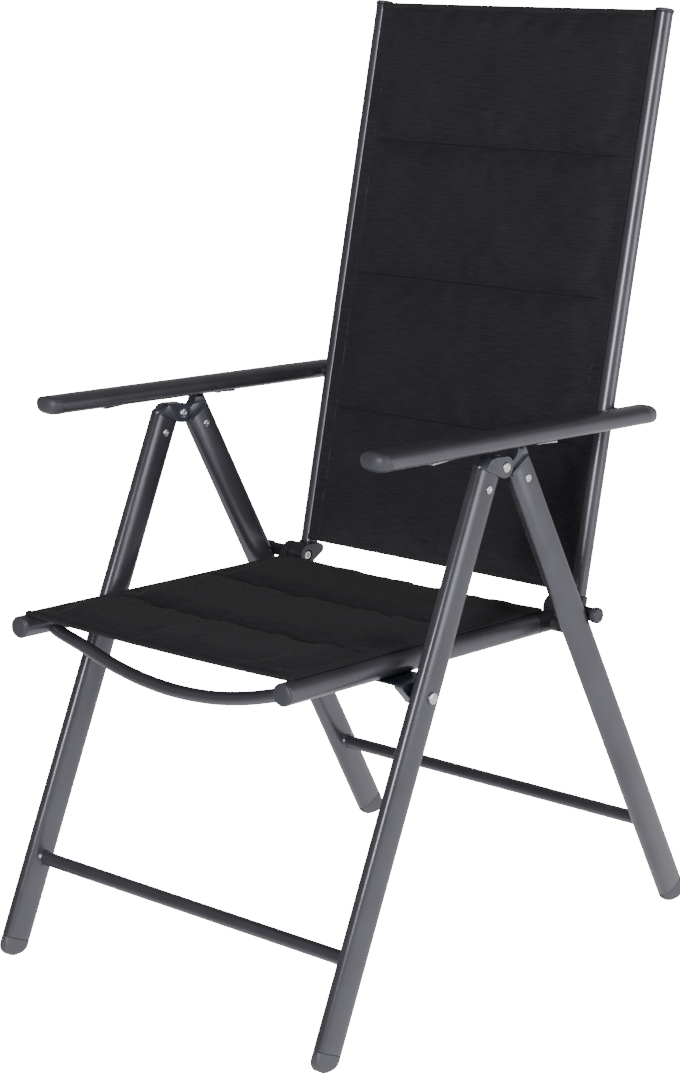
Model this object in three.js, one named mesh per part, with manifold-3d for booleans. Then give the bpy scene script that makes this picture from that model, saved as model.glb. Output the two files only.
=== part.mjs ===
import * as THREE from "three";
import { mergeVertices } from "three/addons/utils/BufferGeometryUtils.js";
import Module from "manifold-3d";

// High-back folding garden armchair with a padded sling seat and back, in millimetres.
// +Z is up, the sitter faces -Y, the two sides mirror each other across x = 0.
// Side-view points are [y, z] with the floor at z = 0; the whole chair is centred at the end.

// Fit between neighbouring pieces
const FIT = 0.3;

// Legs: oval tubes
const LEG_X = 246.5;
const LEG_DEPTH = 39;
const LEG_WIDTH = 19;
const LEG_WALL = 1.6;
const FRONT_FOOT = [-301.8, 0];
const FRONT_TOP = [-27, 607.7];
const REAR_TOP = [27.88, 607.85];
const FOOT_HEIGHT = 17;
const FOOT_ROUND = 10;
const FOOT_STEM = 16;
const STRETCHER_R = 8.2;
const STRETCHER_WALL = 1.4;
const FRONT_STRETCHER_Z = 110;
const REAR_STRETCHER_Z = 118;

// Leg hinge
const HINGE = [-2.5, 610.9];
const FORK_LOBE_R = 12;
const TONGUE_R = 11;
const TONGUE_WIDTH = 6.2;
const FORK_SLOT = 6.9;
const HINGE_PIN_R = 3;
const HINGE_HEAD_R = 6;
const HINGE_HEAD_H = 2.4;
const PLUG_LENGTH = 34;
const PLUG_PIN_R = 2.4;
const PLUG_HEAD_R = 4.3;
const PLUG_HEAD_H = 1.5;
const FRONT_PLUG_PIN = [-33, 591];
const REAR_PLUG_PIN = [37, 592.5];
const HORN_WIDTH = 13;
const NOTCH_PIN = [27, 629.9];
const NOTCH_PIN_R = 3;
const NOTCH_PIN_LENGTH = 20;
const HORN_TIP_R = 4.7;

// Seat frame
const RAIL_X = 202;
const RAIL_R = 12.7;
const RAIL_WALL = 1.5;
const RAIL_FRONT = [-309, 412.7];
const RAIL_TILT = 2.06;
const RAIL_LENGTH = 430;
const RAIL_CAP_H = 3;
const SEAT_PIVOT = [-130.3, 377.7];
const SEAT_BOLT_R = 4;
const BRACKET_GAP = 0.7;
const BRACKET_RIM = 11.8;
const BRACKET_T = 2;
const BRACKET_FLANGE = 10;
const BOW_R = 7.7;
const BOW_WALL = 1.3;
const FRONT_BOW_AT = 47;
const FRONT_BOW_DROP = 45;
const REAR_BOW_AT = 385;
const REAR_BOW_DROP = 34;

// Rear joint of seat, back and axle
const AXLE_BEHIND = 48.98;
const AXLE_ABOVE = 11.83;
const KNUCKLE_SET = 21.4;
const KNUCKLE_T = 23.3;
const KNUCKLE_R = 14;
const RECESS_R = 7;
const RECESS_DEPTH = 4.5;
const SOCKET_R = 12.6;
const SOCKET_DEPTH = 13;
const LUG_GAP = 0.5;
const LUG_T = 9.8;
const LUG_R = 14.5;
const LUG_ROOT_R = 9.7;
const LUG_ROOT_AT = 32;
const AXLE_PIN_R = 4;
const AXLE_HEAD_R = 5.6;
const AXLE_HEAD_H = 3.4;
const SLEEVE_R = 8;
const SLEEVE_LENGTH = 29.3;
const SLEEVE_CAP_R = 9.3;
const SLEEVE_CAP_H = 8;

// Back frame
const BACK_X = 211.4;
const BACK_R = 10.5;
const BACK_WALL = 1.4;
const BACK_STAND = [25, 11.02];
const BACK_LEAN = 12.77;
const BACK_LENGTH = 683.59;
const BACK_CAP_R = 11.4;
const BACK_CAP_H = 5;
const BACK_BAR_R = 7;
const BACK_BAR_WALL = 1.2;
const LOWER_BAR_AT = 75;
const UPPER_BAR_AT = 565;

// Armrests
const ARM_X = 246.5;
const ARM_PIVOT_UP = 218.08;
const ARM_TILT = 2.47;
const ARM_AHEAD = 476.73;
const ARM_BEHIND = 52.36;
const ARM_DROP = 1.25;
const ARM_WIDTH = 40;
const ARM_HEIGHT = 24;
const ARM_WALL = 1.8;
const ARM_SLOT = 25.2;
const ARM_ROUND = 8;
const ARM_FRONT_CAP = 33;
const ARM_REAR_CAP = 30;
const ARM_BOLT_R = 4;
const ARM_SPACER_R = 10;
const RACK_GAP = 20.8;
const RACK_T = 1.7;
const RACK_HANG = 2.3;
const RACK_REAR = 19;
const RACK_FRONT = 14;
const RACK_REAR_TAB = 38;
const RACK_FRONT_TAB = 30;
const NOTCH_STEPS = [0, 21.3, 42.1, 62.3, 81.9, 100.8, 119];
const NOTCH_R = 3.7;

// Sling seat and sling back
const SLING_SAG = 3;
const SEAT_SLING_FROM = 14;
const SEAT_SLING_TAIL = 12;
const SEAT_SLING_OVER = 1.5;
const SEAT_BORDER = 12;
const SEAT_PAD = 15;
const SEAT_HEM = 3;
const SEAT_SEAMS = [141, 297];
const BACK_SLING_FROM = 7;
const BACK_SLING_STOP = 2.6;
const BACK_SLING_FORE = 4.5;
const BACK_PAD = 13;
const BACK_HEM = 2.4;
const BACK_SEAMS = [175, 347, 514];
const BACK_BORDER = 14;

// Colours and surfaces
const finish = (name, color, roughness, metalness) => {
  const material = new THREE.MeshStandardMaterial({ color, roughness, metalness });
  material.name = name;
  return material;
};
const PAINT = finish("slate_powder_coat", 0x5d5e66, 0.38, 0.55);
const PLASTIC = finish("dark_nylon", 0x2f3239, 0.5, 0);
const RUBBER = finish("foot_plastic", 0x2b2c31, 0.62, 0);
const ZINC = finish("zinc_plated_steel", 0xc9cacd, 0.3, 0.9);
const SLEEVE = finish("dark_axle_sleeve", 0x26272b, 0.25, 0.2);
const FABRIC = finish("black_padded_mesh", 0x28282b, 0.9, 0);

const wasm = await Module();
wasm.setup();

// Closed geometry to a solid and back again
function toSolid(geometry) {
  const bare = geometry.clone();
  bare.deleteAttribute("normal");
  bare.deleteAttribute("uv");
  const merged = mergeVertices(bare, 1e-4);
  const index = merged.index.array;
  const kept = [];
  for (let i = 0; i < index.length; i += 3) {
    const [a, b, c] = [index[i], index[i + 1], index[i + 2]];
    if (a !== b && b !== c && a !== c) {
      kept.push(a, b, c);
    }
  }
  return new wasm.Manifold(new wasm.Mesh({
    numProp: 3,
    vertProperties: new Float32Array(merged.attributes.position.array),
    triVerts: new Uint32Array(kept),
  }));
}

function toGeometry(solid) {
  const mesh = solid.getMesh();
  const geometry = new THREE.BufferGeometry();
  const count = mesh.vertProperties.length / mesh.numProp;
  const position = new Float32Array(count * 3);
  for (let i = 0; i < count; i += 1) {
    for (let k = 0; k < 3; k += 1) {
      position[i * 3 + k] = mesh.vertProperties[i * mesh.numProp + k];
    }
  }
  geometry.setAttribute("position", new THREE.BufferAttribute(position, 3));
  geometry.setIndex(Array.from(mesh.triVerts));
  geometry.computeVertexNormals();
  return geometry;
}

const cut = (solid, ...tools) => tools.reduce((left, tool) => left.subtract(tool), solid);
const join = (solid, ...others) => others.reduce((left, other) => left.add(other), solid);

// Side-view helpers
const sub = (a, b) => [a[0] - b[0], a[1] - b[1]];
const len = (a) => Math.hypot(a[0], a[1]);
const unit = (a) => [a[0] / len(a), a[1] / len(a)];
const along = (a, dir, distance) => [a[0] + dir[0] * distance, a[1] + dir[1] * distance];
const radians = (degrees) => (degrees * Math.PI) / 180;
const outline = (points) => new THREE.Shape(points.map(([a, b]) => new THREE.Vector2(a, b)));

function arc(centre, radius, fromDeg, toDeg, steps) {
  const points = [];
  for (let i = 0; i <= steps; i += 1) {
    const angle = radians(fromDeg + ((toDeg - fromDeg) * i) / steps);
    points.push([centre[0] + radius * Math.cos(angle), centre[1] + radius * Math.sin(angle)]);
  }
  return points;
}

// Plate with a side-view outline, from x0 to x1
function plate(points, x0, x1) {
  const shape = Array.isArray(points) ? outline(points) : points;
  const geometry = new THREE.ExtrudeGeometry(shape, {
    depth: x1 - x0, bevelEnabled: false, curveSegments: 12,
  });
  geometry.applyMatrix4(new THREE.Matrix4().makeBasis(
    new THREE.Vector3(0, 1, 0),
    new THREE.Vector3(0, 0, 1),
    new THREE.Vector3(1, 0, 0),
  ));
  geometry.translate(x0, 0, 0);
  return toSolid(geometry);
}

// Bar in a side-view direction: profile [x, depth] drawn square to it, from one point to another
function bar(profile, x, from, to, segments = 8) {
  const dir = unit(sub(to, from));
  const geometry = new THREE.ExtrudeGeometry(profile, {
    depth: len(sub(to, from)), bevelEnabled: false, curveSegments: segments,
  });
  geometry.applyMatrix4(new THREE.Matrix4().makeBasis(
    new THREE.Vector3(1, 0, 0),
    new THREE.Vector3(0, dir[1], -dir[0]),
    new THREE.Vector3(0, dir[0], dir[1]),
  ));
  geometry.translate(x, from[0], from[1]);
  return toSolid(geometry);
}

// Turned piece about a cross axis: profile of [radius, x]
function turned(profile, centre, segments = 16) {
  const geometry = new THREE.LatheGeometry(
    profile.map(([r, x]) => new THREE.Vector2(r, x)), segments);
  geometry.applyMatrix4(new THREE.Matrix4().makeBasis(
    new THREE.Vector3(0, 1, 0),
    new THREE.Vector3(1, 0, 0),
    new THREE.Vector3(0, 0, -1),
  ));
  geometry.translate(0, centre[0], centre[1]);
  return toSolid(geometry);
}

const rod = (radius, x0, x1, centre, segments = 16) =>
  turned([[0, x0], [radius, x0], [radius, x1], [0, x1]], centre, segments);

const ringX = (outer, inner, x0, x1, centre, segments = 20) => turned(
  [[inner, x0], [outer, x0], [outer, x1], [inner, x1], [inner, x0]], centre, segments);

// Round or oval section
function ovalShape(depth, width, wall = 0) {
  const build = (target, d, w) => {
    const r = w / 2;
    const h = d / 2 - r;
    target.moveTo(r, -h);
    target.lineTo(r, h);
    target.absarc(0, h, r, 0, Math.PI, false);
    target.lineTo(-r, -h);
    target.absarc(0, -h, r, Math.PI, 2 * Math.PI, false);
    return target;
  };
  const shape = build(new THREE.Shape(), depth, width);
  if (wall > 0) {
    shape.holes.push(build(new THREE.Path(), depth - 2 * wall, width - 2 * wall));
  }
  return shape;
}

function roundShape(radius, wall = 0) {
  const shape = new THREE.Shape();
  shape.absarc(0, 0, radius, 0, 2 * Math.PI, false);
  if (wall > 0) {
    const hole = new THREE.Path();
    hole.absarc(0, 0, radius - wall, 0, 2 * Math.PI, false);
    shape.holes.push(hole);
  }
  return shape;
}

// Round tube swept along a smooth line of [x, y, z] points
function sweptTube(points, radius, wall, steps) {
  const curve = new THREE.CatmullRomCurve3(points.map((p) => new THREE.Vector3(...p)));
  const shape = roundShape(radius, wall);
  const geometry = new THREE.ExtrudeGeometry(shape, {
    steps, extrudePath: curve, bevelEnabled: false, curveSegments: 5,
  });
  return toSolid(geometry);
}

const block = (x0, x1, y0, y1, z0, z1) => plate([[y0, z0], [y1, z0], [y1, z1], [y0, z1]], x0, x1);

// Output group and the left (+X) and right (-X) twins
const chair = new THREE.Group();
chair.name = "folding_armchair";

function place(name, geometry, material) {
  const mesh = new THREE.Mesh(geometry, material);
  mesh.name = name;
  chair.add(mesh);
}

function twin(name, solid, material) {
  place(`${name}_left`, toGeometry(solid), material);
  place(`${name}_right`, toGeometry(solid.mirror([1, 0, 0])), material);
}

// Rail line and the axle behind it, seen from the side
const railDir = [Math.cos(radians(RAIL_TILT)), -Math.sin(radians(RAIL_TILT))];
const railUp = [-railDir[1], railDir[0]];
const railPoint = (distance, rise = 0) => along(along(RAIL_FRONT, railDir, distance), railUp, rise);
const axle = railPoint(RAIL_LENGTH + AXLE_BEHIND, AXLE_ABOVE);

// Back tube line, which stands on the axle's knuckle, and the arm pivot on it
const backDir = [Math.sin(radians(BACK_LEAN)), Math.cos(radians(BACK_LEAN))];
const backFore = [-backDir[1], backDir[0]];
const backLow = [axle[0] + BACK_STAND[0], axle[1] + BACK_STAND[1]];
const backPoint = (distance, fore = 0) => along(along(backLow, backDir, distance), backFore, fore);
const armPivot = backPoint(ARM_PIVOT_UP);

// Arm line: the pivot lies a little above the channel's middle
const armDir = [Math.cos(radians(ARM_TILT)), -Math.sin(radians(ARM_TILT))];
const armUp = [-armDir[1], armDir[0]];
const armFront = along(along(armPivot, armDir, -ARM_AHEAD), armUp, -ARM_DROP);
const armPoint = (distance, rise = 0) => along(along(armFront, armDir, distance), armUp, rise);
const armLength = ARM_AHEAD + ARM_BEHIND;

// Leg lines: the rear leg leans until its back face rests on the axle's sleeve
const frontDir = unit(sub(FRONT_TOP, FRONT_FOOT));
const fromAxle = sub(REAR_TOP, axle);
const rearAngle = Math.atan2(fromAxle[1], fromAxle[0])
  - Math.asin((LEG_DEPTH / 2 + SLEEVE_R + FIT) / len(fromAxle));
const rearDir = [Math.cos(rearAngle), Math.sin(rearAngle)];
const rearFoot = along(REAR_TOP, rearDir, -REAR_TOP[1] / rearDir[1]);

// Legs
const legInner = LEG_X - LEG_WIDTH / 2;
const legOuter = LEG_X + LEG_WIDTH / 2;

const footSeam = (dir) => (FOOT_HEIGHT + (LEG_DEPTH / 2) * Math.abs(dir[0])) / dir[1];

function leg(foot, top, dir, holes) {
  const end = along(foot, dir, footSeam(dir) + FIT);
  const tube = bar(ovalShape(LEG_DEPTH, LEG_WIDTH, LEG_WALL), LEG_X, end, top, 5);
  const drilled = holes.map(([centre, radius]) => rod(radius, legInner - 5, legOuter + 5, centre));
  return cut(tube, ...drilled);
}

// Foot plug: flush with the oval tube, standing flat on the floor with both corners rounded
function footCap(foot, dir) {
  const seam = along(foot, dir, footSeam(dir));
  const across = [dir[1], -dir[0]];
  const lean = Math.atan2(dir[1], dir[0]) / 2;
  const reach = LEG_DEPTH / 2 / dir[1];
  const front = [foot[0] - reach + FOOT_ROUND / Math.tan(lean), FOOT_ROUND];
  const rear = [foot[0] + reach - FOOT_ROUND * Math.tan(lean), FOOT_ROUND];
  const leanDeg = (lean * 360) / Math.PI;
  const side = [
    along(seam, across, -LEG_DEPTH / 2 - 1),
    ...arc(front, FOOT_ROUND, 90 + leanDeg, 270, 6),
    ...arc(rear, FOOT_ROUND, 270, 270 + leanDeg, 6),
    along(seam, across, LEG_DEPTH / 2 + 1),
  ];
  const body = bar(ovalShape(LEG_DEPTH, LEG_WIDTH), LEG_X, along(foot, dir, -40), seam, 5);
  const core = ovalShape(LEG_DEPTH - 2 * (LEG_WALL + FIT), LEG_WIDTH - 2 * (LEG_WALL + FIT));
  const stem = bar(core, LEG_X, along(seam, dir, -5), along(seam, dir, FOOT_STEM), 5);
  return join(body.intersect(plate(side, legInner - 9, legOuter + 9)), stem);
}

twin("front_leg", leg(FRONT_FOOT, FRONT_TOP, frontDir, [
  [FRONT_PLUG_PIN, PLUG_PIN_R + FIT], [SEAT_PIVOT, SEAT_BOLT_R + FIT],
]), PAINT);
twin("rear_leg", leg(rearFoot, REAR_TOP, rearDir, [[REAR_PLUG_PIN, PLUG_PIN_R + FIT]]), PAINT);
twin("front_foot", footCap(FRONT_FOOT, frontDir), RUBBER);
twin("rear_foot", footCap(rearFoot, rearDir), RUBBER);

// Stretchers between the legs
function stretcher(foot, dir, height) {
  const centre = along(foot, dir, (height - foot[1]) / dir[1]);
  const half = legInner - FIT;
  return ringX(STRETCHER_R, STRETCHER_R - STRETCHER_WALL, -half, half, centre);
}
place("front_stretcher", toGeometry(stretcher(FRONT_FOOT, frontDir, FRONT_STRETCHER_Z)), PAINT);
place("rear_stretcher", toGeometry(stretcher(rearFoot, rearDir, REAR_STRETCHER_Z)), PAINT);

// Hinge heads: a plug in each leg, a fork on the front one, a tongue and horn on the rear one
const plugShape = () => ovalShape(
  LEG_DEPTH - 2 * (LEG_WALL + FIT), LEG_WIDTH - 2 * (LEG_WALL + FIT));

function plug(top, dir, pin) {
  const body = bar(plugShape(), LEG_X, along(top, dir, -PLUG_LENGTH), along(top, dir, 2), 4);
  const core = bar(ovalShape(LEG_DEPTH - 24, LEG_WIDTH - 12), LEG_X,
    along(top, dir, -PLUG_LENGTH - 1), along(top, dir, -PLUG_LENGTH + 8), 3);
  return cut(body, core, rod(PLUG_PIN_R + FIT, legInner - 1, legOuter + 1, pin));
}

// Angle in degrees at which a line from a point touches a circle, on the chosen hand
function touchAngle(centre, radius, point, hand) {
  const [dy, dz] = sub(point, centre);
  const open = Math.acos(Math.min(1, radius / Math.hypot(dy, dz)));
  return ((Math.atan2(dz, dy) + hand * open) * 180) / Math.PI;
}

const frontAcross = [frontDir[1], -frontDir[0]];
const rearAcross = [rearDir[1], -rearDir[0]];
const frontEdge = along(along(FRONT_TOP, frontAcross, -LEG_DEPTH / 2), frontDir, FIT);
const frontHeel = along(along(FRONT_TOP, frontAcross, LEG_DEPTH / 2), frontDir, FIT);
const forkOutline = [
  frontEdge,
  along(frontEdge, frontDir, 2.4),
  [HINGE[0] - 26, HINGE[1] + 12.2],
  [HINGE[0] - 18, HINGE[1] + 13.4],
  ...arc(HINGE, FORK_LOBE_R, 97, touchAngle(HINGE, FORK_LOBE_R, frontHeel, 1), 16),
  frontHeel,
];
const forkPlate = plate(forkOutline, legInner, legOuter);
const slotHalf = FORK_SLOT / 2;
const forkSlot = join(
  rod(FORK_LOBE_R + 1.5, LEG_X - slotHalf, LEG_X + slotHalf, HINGE, 24),
  block(LEG_X - slotHalf, LEG_X + slotHalf, HINGE[0], HINGE[0] + 30, HINGE[1] - 30, HINGE[1] + 30),
);
const hingeBore = rod(HINGE_PIN_R + FIT, legInner - 5, legOuter + 5, HINGE);
const frontHead = cut(
  join(forkPlate, plug(FRONT_TOP, frontDir, FRONT_PLUG_PIN)), forkSlot, hingeBore);
twin("front_hinge_head", frontHead, PLASTIC);

const rearHeel = along(along(REAR_TOP, rearAcross, -LEG_DEPTH / 2), rearDir, FIT);
const rearBack = along(along(REAR_TOP, rearAcross, LEG_DEPTH / 2), rearDir, FIT);
const hornOutline = [
  rearHeel,
  rearBack,
  along(rearBack, rearDir, 3.5),
  [NOTCH_PIN[0] + 13.4, NOTCH_PIN[1] - 7],
  [NOTCH_PIN[0] + 12, NOTCH_PIN[1] - 2.5],
  [NOTCH_PIN[0] + 8.5, NOTCH_PIN[1] - 0.3],
  ...arc(NOTCH_PIN, HORN_TIP_R, 80, 180, 6),
  ...arc([NOTCH_PIN[0] - 17.5, NOTCH_PIN[1] - 1.4], 13, -8, -92, 7),
  ...arc(HINGE, TONGUE_R, 42, 360 + touchAngle(HINGE, TONGUE_R, rearHeel, -1), 12),
];
const lobeRoom = (x0, x1) => rod(FORK_LOBE_R + 0.7, x0, x1, HINGE, 24);
const hornHalf = HORN_WIDTH / 2;
const tongueHalf = TONGUE_WIDTH / 2;
const tongue = plate(hornOutline, LEG_X - tongueHalf, LEG_X + tongueHalf);
const horn = cut(
  plate(hornOutline, LEG_X - hornHalf, LEG_X + hornHalf),
  lobeRoom(LEG_X - hornHalf - 1, LEG_X - tongueHalf),
  lobeRoom(LEG_X + tongueHalf, LEG_X + hornHalf + 1),
);
const rearFlange = cut(
  plate([rearHeel, rearBack, along(rearBack, rearDir, 4), along(rearHeel, rearDir, 4)],
    legInner, legOuter),
  lobeRoom(legInner - 1, LEG_X - tongueHalf),
  lobeRoom(LEG_X + tongueHalf, legOuter + 1),
);
const rearPlug = cut(
  plug(REAR_TOP, rearDir, REAR_PLUG_PIN),
  lobeRoom(legInner - 1, LEG_X - tongueHalf),
  lobeRoom(LEG_X + tongueHalf, legOuter + 1),
);
const rearHead = cut(
  join(tongue, horn, rearFlange, rearPlug),
  hingeBore,
  rod(NOTCH_PIN_R + FIT, LEG_X - 20, LEG_X + 20, NOTCH_PIN),
);
twin("rear_hinge_head", rearHead, PLASTIC);

// Domed rivet across a leg
function rivet(centre, shank, headR, headH) {
  const inner = legInner - FIT;
  const outer = legOuter + FIT;
  return turned([
    [0, inner - headH], [headR * 0.6, inner - headH * 0.9], [headR, inner],
    [shank, inner], [shank, outer], [headR, outer],
    [headR * 0.6, outer + headH * 0.9], [0, outer + headH],
  ], centre, 14);
}
twin("leg_hinge_rivet", rivet(HINGE, HINGE_PIN_R, HINGE_HEAD_R, HINGE_HEAD_H), ZINC);
twin("front_plug_rivet", rivet(FRONT_PLUG_PIN, PLUG_PIN_R, PLUG_HEAD_R, PLUG_HEAD_H), ZINC);
twin("rear_plug_rivet", rivet(REAR_PLUG_PIN, PLUG_PIN_R, PLUG_HEAD_R, PLUG_HEAD_H), ZINC);
const pinHalf = NOTCH_PIN_LENGTH / 2;
twin("arm_notch_pin", turned([
  [0, LEG_X - pinHalf], [NOTCH_PIN_R - 0.6, LEG_X - pinHalf],
  [NOTCH_PIN_R, LEG_X - pinHalf + 0.6], [NOTCH_PIN_R, LEG_X + pinHalf - 0.6],
  [NOTCH_PIN_R - 0.6, LEG_X + pinHalf], [0, LEG_X + pinHalf],
], NOTCH_PIN, 14), ZINC);

// Seat rails
const railEnd = railPoint(RAIL_LENGTH);
twin("seat_rail", bar(roundShape(RAIL_R, RAIL_WALL), RAIL_X, RAIL_FRONT, railEnd), PAINT);
const railCore = RAIL_R - RAIL_WALL - FIT;
twin("seat_rail_cap", join(
  bar(roundShape(RAIL_R - 0.9), RAIL_X, railPoint(-RAIL_CAP_H), railPoint(-RAIL_CAP_H + 1)),
  bar(roundShape(RAIL_R + 0.2), RAIL_X, railPoint(-RAIL_CAP_H + 0.9), railPoint(-FIT)),
  cut(
    bar(roundShape(railCore), RAIL_X, railPoint(-1), railPoint(22)),
    bar(roundShape(railCore - 2.2), RAIL_X, railPoint(3), railPoint(23)),
  ),
), PLASTIC);

// Places across the chair of what the axle carries, from the middle outwards
const knuckleIn = BACK_X - KNUCKLE_SET;
const knuckleOut = knuckleIn + KNUCKLE_T;
const lugIn = knuckleOut + LUG_GAP;
const lugOut = lugIn + LUG_T;
const sleeveOut = lugOut + FIT + SLEEVE_LENGTH;

// Two circles and the straight sides that touch both
function linkOutline(small, smallR, big, bigR) {
  const [dy, dz] = sub(big, small);
  const way = (Math.atan2(dz, dy) * 180) / Math.PI;
  const side = (Math.acos((smallR - bigR) / Math.hypot(dy, dz)) * 180) / Math.PI;
  return [
    ...arc(big, bigR, way - side, way + side, 14),
    ...arc(small, smallR, way + side, way + 360 - side, 10),
  ];
}

// Rail end fitting: plug, collar and the lug that carries the axle
const collarEnd = railPoint(RAIL_LENGTH + 28);
const lugRoot = railPoint(RAIL_LENGTH + LUG_ROOT_AT, -RAIL_R + LUG_ROOT_R + 1);
const railEndFitting = cut(
  join(
    bar(roundShape(railCore), RAIL_X, railPoint(RAIL_LENGTH - 30), railPoint(RAIL_LENGTH + 2)),
    bar(roundShape(RAIL_R), RAIL_X, railPoint(RAIL_LENGTH + FIT), collarEnd),
    rod(LUG_ROOT_R - 2, RAIL_X, lugOut, along(lugRoot, railDir, -7), 16),
    plate(linkOutline(lugRoot, LUG_ROOT_R, axle, LUG_R), lugIn, lugOut),
  ),
  rod(AXLE_PIN_R + FIT, lugIn - 2, lugOut + 2, axle),
  bar(roundShape(railCore - 2.5), RAIL_X, railPoint(RAIL_LENGTH - 31), railPoint(RAIL_LENGTH - 4)),
);
twin("seat_rail_end", railEndFitting, PLASTIC);

// Bowed cross tubes under the sling, coped to the rails
const railRoom = bar(roundShape(RAIL_R + FIT), RAIL_X, railPoint(-40), railPoint(RAIL_LENGTH + 40));
const railRooms = [railRoom, railRoom.mirror([1, 0, 0])];
function bow(distance, drop) {
  const centre = railPoint(distance);
  const line = [
    [-1, 0.18], [-0.9, 0.27], [-0.74, 0.45], [-0.53, 0.71], [-0.28, 0.92], [0, 1],
    [0.28, 0.92], [0.53, 0.71], [0.74, 0.45], [0.9, 0.27], [1, 0.18],
  ];
  const points = line.map(([x, fall]) => [x * RAIL_X, centre[0], centre[1] - fall * drop]);
  const tube = sweptTube(points, BOW_R, BOW_WALL, 14);
  return cut(tube, ...railRooms);
}
const middlePiece = (solid) => solid.decompose().reduce((a, b) => (a.volume() > b.volume() ? a : b));
place("seat_front_bow", toGeometry(middlePiece(bow(FRONT_BOW_AT, FRONT_BOW_DROP))), PAINT);
place("seat_rear_bow", toGeometry(middlePiece(bow(REAR_BOW_AT, REAR_BOW_DROP))), PAINT);

// Pressed bracket: flange under the rail, ear with an inward rim beside the leg
const bracketOut = legInner - BRACKET_GAP;
const bracketIn = bracketOut - BRACKET_RIM;
const bracketMid = railPoint(SEAT_PIVOT[0] - RAIL_FRONT[0], -RAIL_R - FIT);
const bracketTop = (offset, drop = 0) => along(
  along(bracketMid, railDir, offset), railUp, -drop);
const earRadius = 11;
const earOutline = (inset) => [
  bracketTop(-27 + inset, inset ? BRACKET_T : 0),
  bracketTop(-24 + inset, 6),
  ...arc(SEAT_PIVOT, earRadius - inset, 205, 340, 8),
  bracketTop(26 - inset, 6),
  bracketTop(29 - inset, inset ? BRACKET_T : 0),
];
const bracket = cut(
  join(
    plate(earOutline(0), bracketIn, bracketOut),
    plate([bracketTop(-27), bracketTop(-27, BRACKET_T), bracketTop(29, BRACKET_T), bracketTop(29)],
      RAIL_X - BRACKET_FLANGE, bracketOut),
  ),
  plate(earOutline(BRACKET_T), bracketIn - 1, bracketOut - BRACKET_T),
  rod(SEAT_BOLT_R + FIT, bracketOut - BRACKET_T - 2, bracketOut + 2, SEAT_PIVOT),
  ...[-15, 17].map((offset) => {
    const hole = new THREE.CylinderGeometry(2.4, 2.4, 12, 10);
    const at = bracketTop(offset, BRACKET_T / 2);
    hole.rotateX(Math.PI / 2);
    hole.translate(RAIL_X, at[0], at[1]);
    return toSolid(hole);
  }),
);
twin("seat_bracket", bracket, PAINT);

// Seat pivot bolt with a round head outside and a nut inside
const boltIn = bracketOut - BRACKET_T - FIT;
twin("seat_pivot_bolt", join(
  turned([
    [0, boltIn - 8], [SEAT_BOLT_R, boltIn - 8], [SEAT_BOLT_R, legOuter + FIT],
    [6.8, legOuter + FIT], [6.8, legOuter + 2.2], [5, legOuter + 3.4], [0, legOuter + 3.7],
  ], SEAT_PIVOT, 18),
  rod(6.6, boltIn - 5.5, boltIn, SEAT_PIVOT, 6),
), ZINC);

// Axle: bolt through knuckle and lug, sleeve on which the rear legs bear
const headSeat = knuckleIn + RECESS_DEPTH - FIT;
twin("back_axle", turned([
  [0, headSeat - AXLE_HEAD_H], [AXLE_HEAD_R - 1, headSeat - AXLE_HEAD_H],
  [AXLE_HEAD_R, headSeat - AXLE_HEAD_H + 1], [AXLE_HEAD_R, headSeat],
  [AXLE_PIN_R, headSeat], [AXLE_PIN_R, sleeveOut], [0, sleeveOut],
], axle, 18), ZINC);
twin("axle_sleeve", turned([
  [AXLE_PIN_R + FIT, lugOut + FIT], [SLEEVE_R, lugOut + FIT], [SLEEVE_R, sleeveOut],
  [SLEEVE_CAP_R, sleeveOut + 0.6], [SLEEVE_CAP_R, sleeveOut + SLEEVE_CAP_H - 1],
  [SLEEVE_CAP_R - 1.6, sleeveOut + SLEEVE_CAP_H], [0, sleeveOut + SLEEVE_CAP_H],
  [0, sleeveOut + FIT], [AXLE_PIN_R + FIT, sleeveOut + FIT], [AXLE_PIN_R + FIT, lugOut + FIT],
], axle, 20), SLEEVE);

// Back tubes, top caps and knuckles
const armBore = rod(ARM_BOLT_R + FIT, BACK_X, BACK_X + 20, armPivot);
twin("back_tube", cut(
  bar(roundShape(BACK_R, BACK_WALL), BACK_X, backLow, backPoint(BACK_LENGTH)), armBore), PAINT);
const backCore = BACK_R - BACK_WALL - FIT;
twin("back_top_cap", join(
  bar(roundShape(backCore), BACK_X, backPoint(BACK_LENGTH - 18), backPoint(BACK_LENGTH + 1)),
  bar(roundShape(BACK_CAP_R), BACK_X, backPoint(BACK_LENGTH + FIT),
    backPoint(BACK_LENGTH + BACK_CAP_H - 1)),
  bar(roundShape(BACK_CAP_R - 1.3), BACK_X, backPoint(BACK_LENGTH + BACK_CAP_H - 1.1),
    backPoint(BACK_LENGTH + BACK_CAP_H)),
), PLASTIC);

// Knuckle: a wide eye round the axle with a recess for the bolt's head, and a socket for the tube
const socketLow = backPoint(-SOCKET_DEPTH);
const knuckle = cut(
  join(
    rod(KNUCKLE_R, knuckleIn, knuckleOut, axle, 24),
    plate(linkOutline(backPoint(-SOCKET_DEPTH / 2), SOCKET_DEPTH / 2, axle, KNUCKLE_R - 0.5),
      knuckleIn + 1.2, knuckleOut),
    cut(bar(roundShape(SOCKET_R), BACK_X, socketLow, backPoint(-FIT)),
      rod(LUG_R + 2 * FIT, knuckleOut, knuckleOut + 20, axle, 24)),
    bar(roundShape(backCore), BACK_X, backPoint(-2), backPoint(26)),
  ),
  rod(AXLE_PIN_R + FIT, knuckleIn - 2, knuckleOut + 2, axle),
  rod(RECESS_R, knuckleIn - 2, knuckleIn + RECESS_DEPTH, axle, 20),
);
twin("back_knuckle", knuckle, PLASTIC);

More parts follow.
